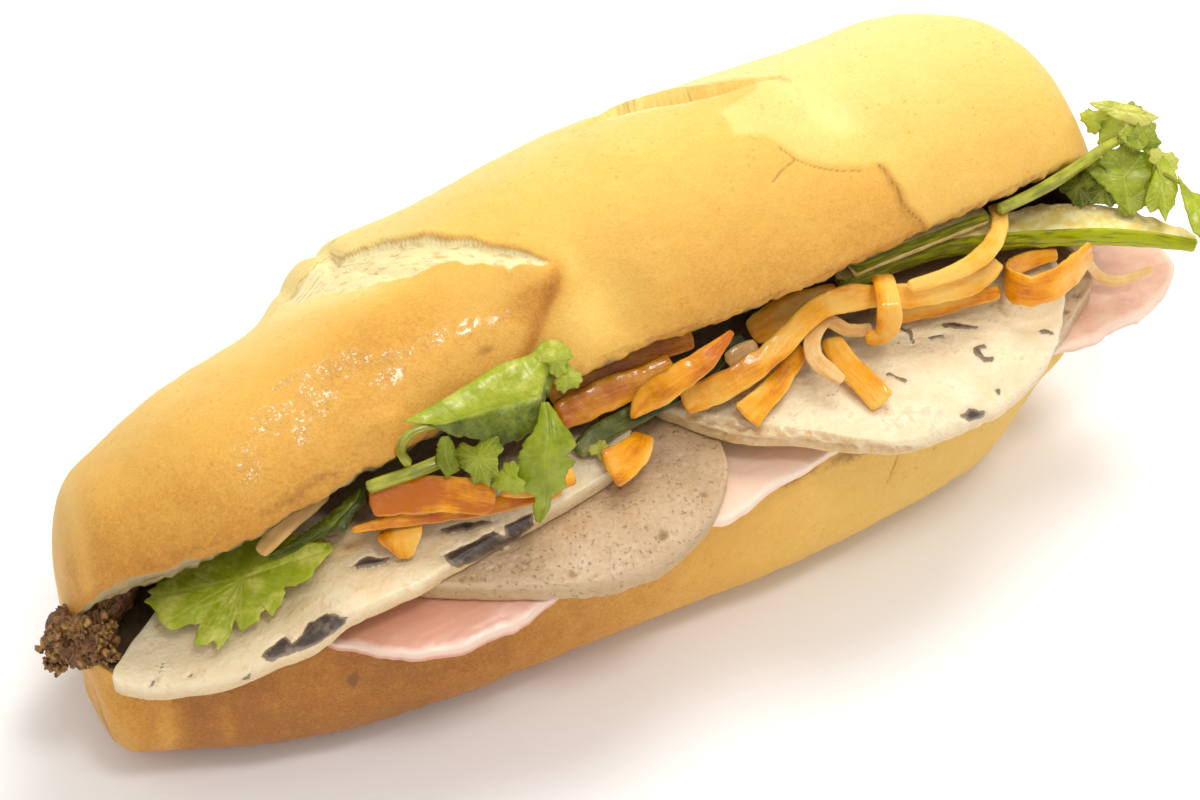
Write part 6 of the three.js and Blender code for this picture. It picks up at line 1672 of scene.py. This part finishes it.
class SANDWICH_OT_head_cheese(SandwichOperator, bpy.types.Operator):
    """Lays the slices of head cheese, marked with wood ear"""

    bl_idname = "sandwich.head_cheese"
    bl_label = "Head Cheese"

    def build(self, scene):
        material = head_cheese_finish(scene.meat_look)
        head_cheese_slice("head_cheese_left", HEAD_CHEESE_LEFT, LEFT_CLIMB, EARS_LEFT, STAINS_LEFT,
                          LUMPS_LEFT, material, 150)
        head_cheese_slice("head_cheese_right", HEAD_CHEESE_RIGHT, lambda x: ON_PORK_ROLL + 0 * x,
                          EARS_RIGHT, STAINS_RIGHT, LUMPS_RIGHT, material, 160, torn=TORN_EDGE)


class SANDWICH_OT_pate(SandwichOperator, bpy.types.Operator):
    """Fills the left end with pate"""

    bl_idname = "sandwich.pate"
    bl_label = "Pate"

    def build(self, scene):
        look = scene.meat_look
        pate_form("pate", pate_finish(look, "pate", 0.15))
        # Crumbs cling round the end that stands out of the roll.
        random = np.random.default_rng(5)
        crumbs = []
        for centre, reach, count in PATE_CLUSTERS:
            ways = unit(random.normal(0, 1, (count, 3)))
            places = centre + (ways * random.uniform(0, 1.15, (count, 1)) ** 0.5 * reach) @ VIEW_AXES
            crumbs += zip(places, 0.5 + 1.4 * random.uniform(0, 1, count) ** 2)
        crumble("pate_crumbs", crumbs, 0.9, pate_finish(look, "loose_pate", -0.03), 740)


class SANDWICH_OT_cucumber(SandwichOperator, bpy.types.Operator):
    """Adds the two wedges of cucumber and the strip of rind"""

    bl_idname = "sandwich.cucumber"
    bl_label = "Cucumber"

    def build(self, scene):
        look = scene.shred_look
        material = cucumber_finish(look)
        cucumber_wedge("cucumber_front", CUCUMBER_FRONT, material, 170)
        cucumber_wedge("cucumber_back", CUCUMBER_BACK, material, 175, skin_from=0.09)
        rind = shred_finish("rind", look.deep_rind, look.rind, look.pale_rind, 0.1)
        ribbon("cucumber_left", rind, 180)


class SANDWICH_OT_carrot(SandwichOperator, bpy.types.Operator):
    """Adds the shreds of carrot"""

    bl_idname = "sandwich.carrot"
    bl_label = "Carrot"

    def build(self, scene):
        look = scene.shred_look
        material = shred_finish("carrot", look.deep_carrot, look.carrot, look.pale_carrot, 0.25)
        for seed, node in enumerate(n for n in STRIPS if n.startswith("carrot")):
            ribbon(node, material, 200 + 7 * seed)


class SANDWICH_OT_daikon(SandwichOperator, bpy.types.Operator):
    """Adds the shreds of daikon"""

    bl_idname = "sandwich.daikon"
    bl_label = "Daikon"

    def build(self, scene):
        look = scene.shred_look
        material = shred_finish("daikon", look.deep_daikon, look.daikon, look.pale_daikon, 0.35)
        for seed, node in enumerate(n for n in STRIPS if n.startswith("daikon")):
            ribbon(node, material, 400 + 7 * seed)


class SANDWICH_OT_coriander(SandwichOperator, bpy.types.Operator):
    """Adds the stalks and leaves of coriander"""

    bl_idname = "sandwich.coriander"
    bl_label = "Coriander"

    def build(self, scene):
        stalks = stalk_finish(scene.herb_look)
        for node, (radii, points) in STALKS.items():
            stalk(node, radii, points, stalks, [node])
        for name, points in LEAF_STALKS.items():
            stalk(name, (0.42, 0.36, 0.3), points, stalks, ())
        leaves = leaf_finish(scene.herb_look)
        for seed, (node, shape) in enumerate(FAN_LEAVES.items()):
            fan_leaf(node, shape, leaves, 500 + 7 * seed, [node])
        for k, place in enumerate(SMALL_LEAVES):
            small_leaf(f"small_leaf_{k + 1}", place, leaves, 800 + 7 * k)
        for seed, node in enumerate(ROW_LEAVES):
            row_leaf(node, leaves, 600 + 7 * seed)


class SANDWICH_OT_bits(SandwichOperator, bpy.types.Operator):
    """Adds the loose crumbs of bread"""

    bl_idname = "sandwich.bits"
    bl_label = "Loose Bits"

    def build(self, scene):
        look = scene.bread_look
        crumb = plain_finish("loose_crumb", look.deep_crust, look.light_crust, {"Roughness": 0.7})
        crumble("bread_crumbs", BREAD_CRUMBS, 0.3, crumb, 700)


class SANDWICH_OT_studio(SandwichOperator, bpy.types.Operator):
    """Sets up the floor, the lights and the camera"""

    bl_idname = "sandwich.studio"
    bl_label = "Studio"

    def build(self, scene):
        studio(scene)


class SANDWICH_PT_sandwich(bpy.types.Panel):
    """Lists the parts of the sandwich and their settings"""

    bl_label = "Sandwich"
    bl_space_type = "VIEW_3D"
    bl_region_type = "UI"
    bl_category = "Sandwich"

    def draw(self, context):
        for operator in OPERATORS:
            self.layout.operator(operator.bl_idname)
        for name, group in SETTINGS.items():
            box = self.layout.box()
            box.label(text=name.replace("_", " ").title())
            for label in group.__annotations__:
                box.prop(getattr(context.scene, name), label)


# ---- Studio -----------------------------------------------------------------------------------


def area_light(name, power, size, way, distance, mirrored=False):
    """A round lamp in a direction from the sandwich; only a mirrored one shows in wet surfaces."""
    light = bpy.data.lights.new(name, "AREA")
    light.energy = power
    light.shape = "DISK"
    light.size = size / 1000
    piece = add_object(name, light)
    piece.visible_glossy = mirrored
    target = CAMERA_TARGET + TO_FRAME
    way = distance * unit(way)
    piece.location = (target + way) / 1000
    piece.rotation_euler = Vector(-way).to_track_quat("-Z", "Y").to_euler()


def studio(scene):
    """The camera, which looks down on the open side from a little to the left, floor and lights."""
    look = scene.studio_look
    turn, rise = math.radians(CAMERA_AZIMUTH), math.radians(CAMERA_ELEVATION)
    back = np.array([math.cos(rise) * math.sin(turn), -math.cos(rise) * math.cos(turn), math.sin(rise)])
    right = np.array([math.cos(turn), math.sin(turn), 0])
    up = np.cross(back, right)
    target = CAMERA_TARGET + TO_FRAME
    place = target + back * CAMERA_DISTANCE + right * CAMERA_SHIFT[0] + up * CAMERA_SHIFT[1]
    camera = bpy.data.cameras.new("camera")
    camera.lens, camera.sensor_width = CAMERA_LENS, 36
    camera.clip_start, camera.clip_end = 0.01, 20
    scene.camera = add_object("camera", camera)
    axes = np.column_stack([right, up, back, place / 1000])
    scene.camera.matrix_world = Matrix([*axes.tolist(), [0, 0, 0, 1]])
    bm = bmesh.new()
    bmesh.ops.create_grid(bm, x_segments=1, y_segments=1, size=4)
    mesh = bpy.data.meshes.new("floor")
    bm.to_mesh(mesh)
    bm.free()
    floor = add_object("floor", mesh)
    mesh.materials.append(plain_finish("floor", look.floor, look.floor, {"Roughness": 0.6}, 400, 0))
    area_light("key", look.key_power, 520, KEY_WAY, 900)
    area_light("fill", look.fill_power, 900, FILL_WAY, 1100)
    area_light("glint", look.glint_power, 190, GLINT_WAY, 900, mirrored=True)
    world = bpy.data.worlds.new("surround")
    world.use_nodes = True
    surround = world.node_tree.nodes["Background"]
    surround.inputs["Color"].default_value = (*look.sky, 1)
    surround.inputs["Strength"].default_value = look.sky_strength
    scene.world = world
    scene.view_settings.view_transform = "Standard"
    scene.view_settings.look = "None"


# ---- Running ----------------------------------------------------------------------------------

SETTINGS = {
    "bread_look": BreadLook, "meat_look": MeatLook, "shred_look": ShredLook,
    "herb_look": HerbLook, "studio_look": StudioLook,
}
OPERATORS = (
    SANDWICH_OT_bread, SANDWICH_OT_ham, SANDWICH_OT_pork_roll, SANDWICH_OT_head_cheese,
    SANDWICH_OT_pate, SANDWICH_OT_cucumber, SANDWICH_OT_carrot, SANDWICH_OT_daikon,
    SANDWICH_OT_coriander, SANDWICH_OT_bits, SANDWICH_OT_studio,
)
CLASSES = (*SETTINGS.values(), *OPERATORS, SANDWICH_PT_sandwich)


def register():
    """Registers the classes, and adds their settings to the scene."""
    for cls in CLASSES:
        bpy.utils.register_class(cls)
    for name, group in SETTINGS.items():
        setattr(bpy.types.Scene, name, bpy.props.PointerProperty(type=group))


def unregister():
    """Takes away what register adds."""
    for name in SETTINGS:
        delattr(bpy.types.Scene, name)
    for cls in reversed(CLASSES):
        bpy.utils.unregister_class(cls)


def main():
    """Builds the whole scene."""
    register()
    for operator in OPERATORS:
        group, name = operator.bl_idname.split(".")
        getattr(getattr(bpy.ops, group), name)()


if __name__ == "__main__":
    main()
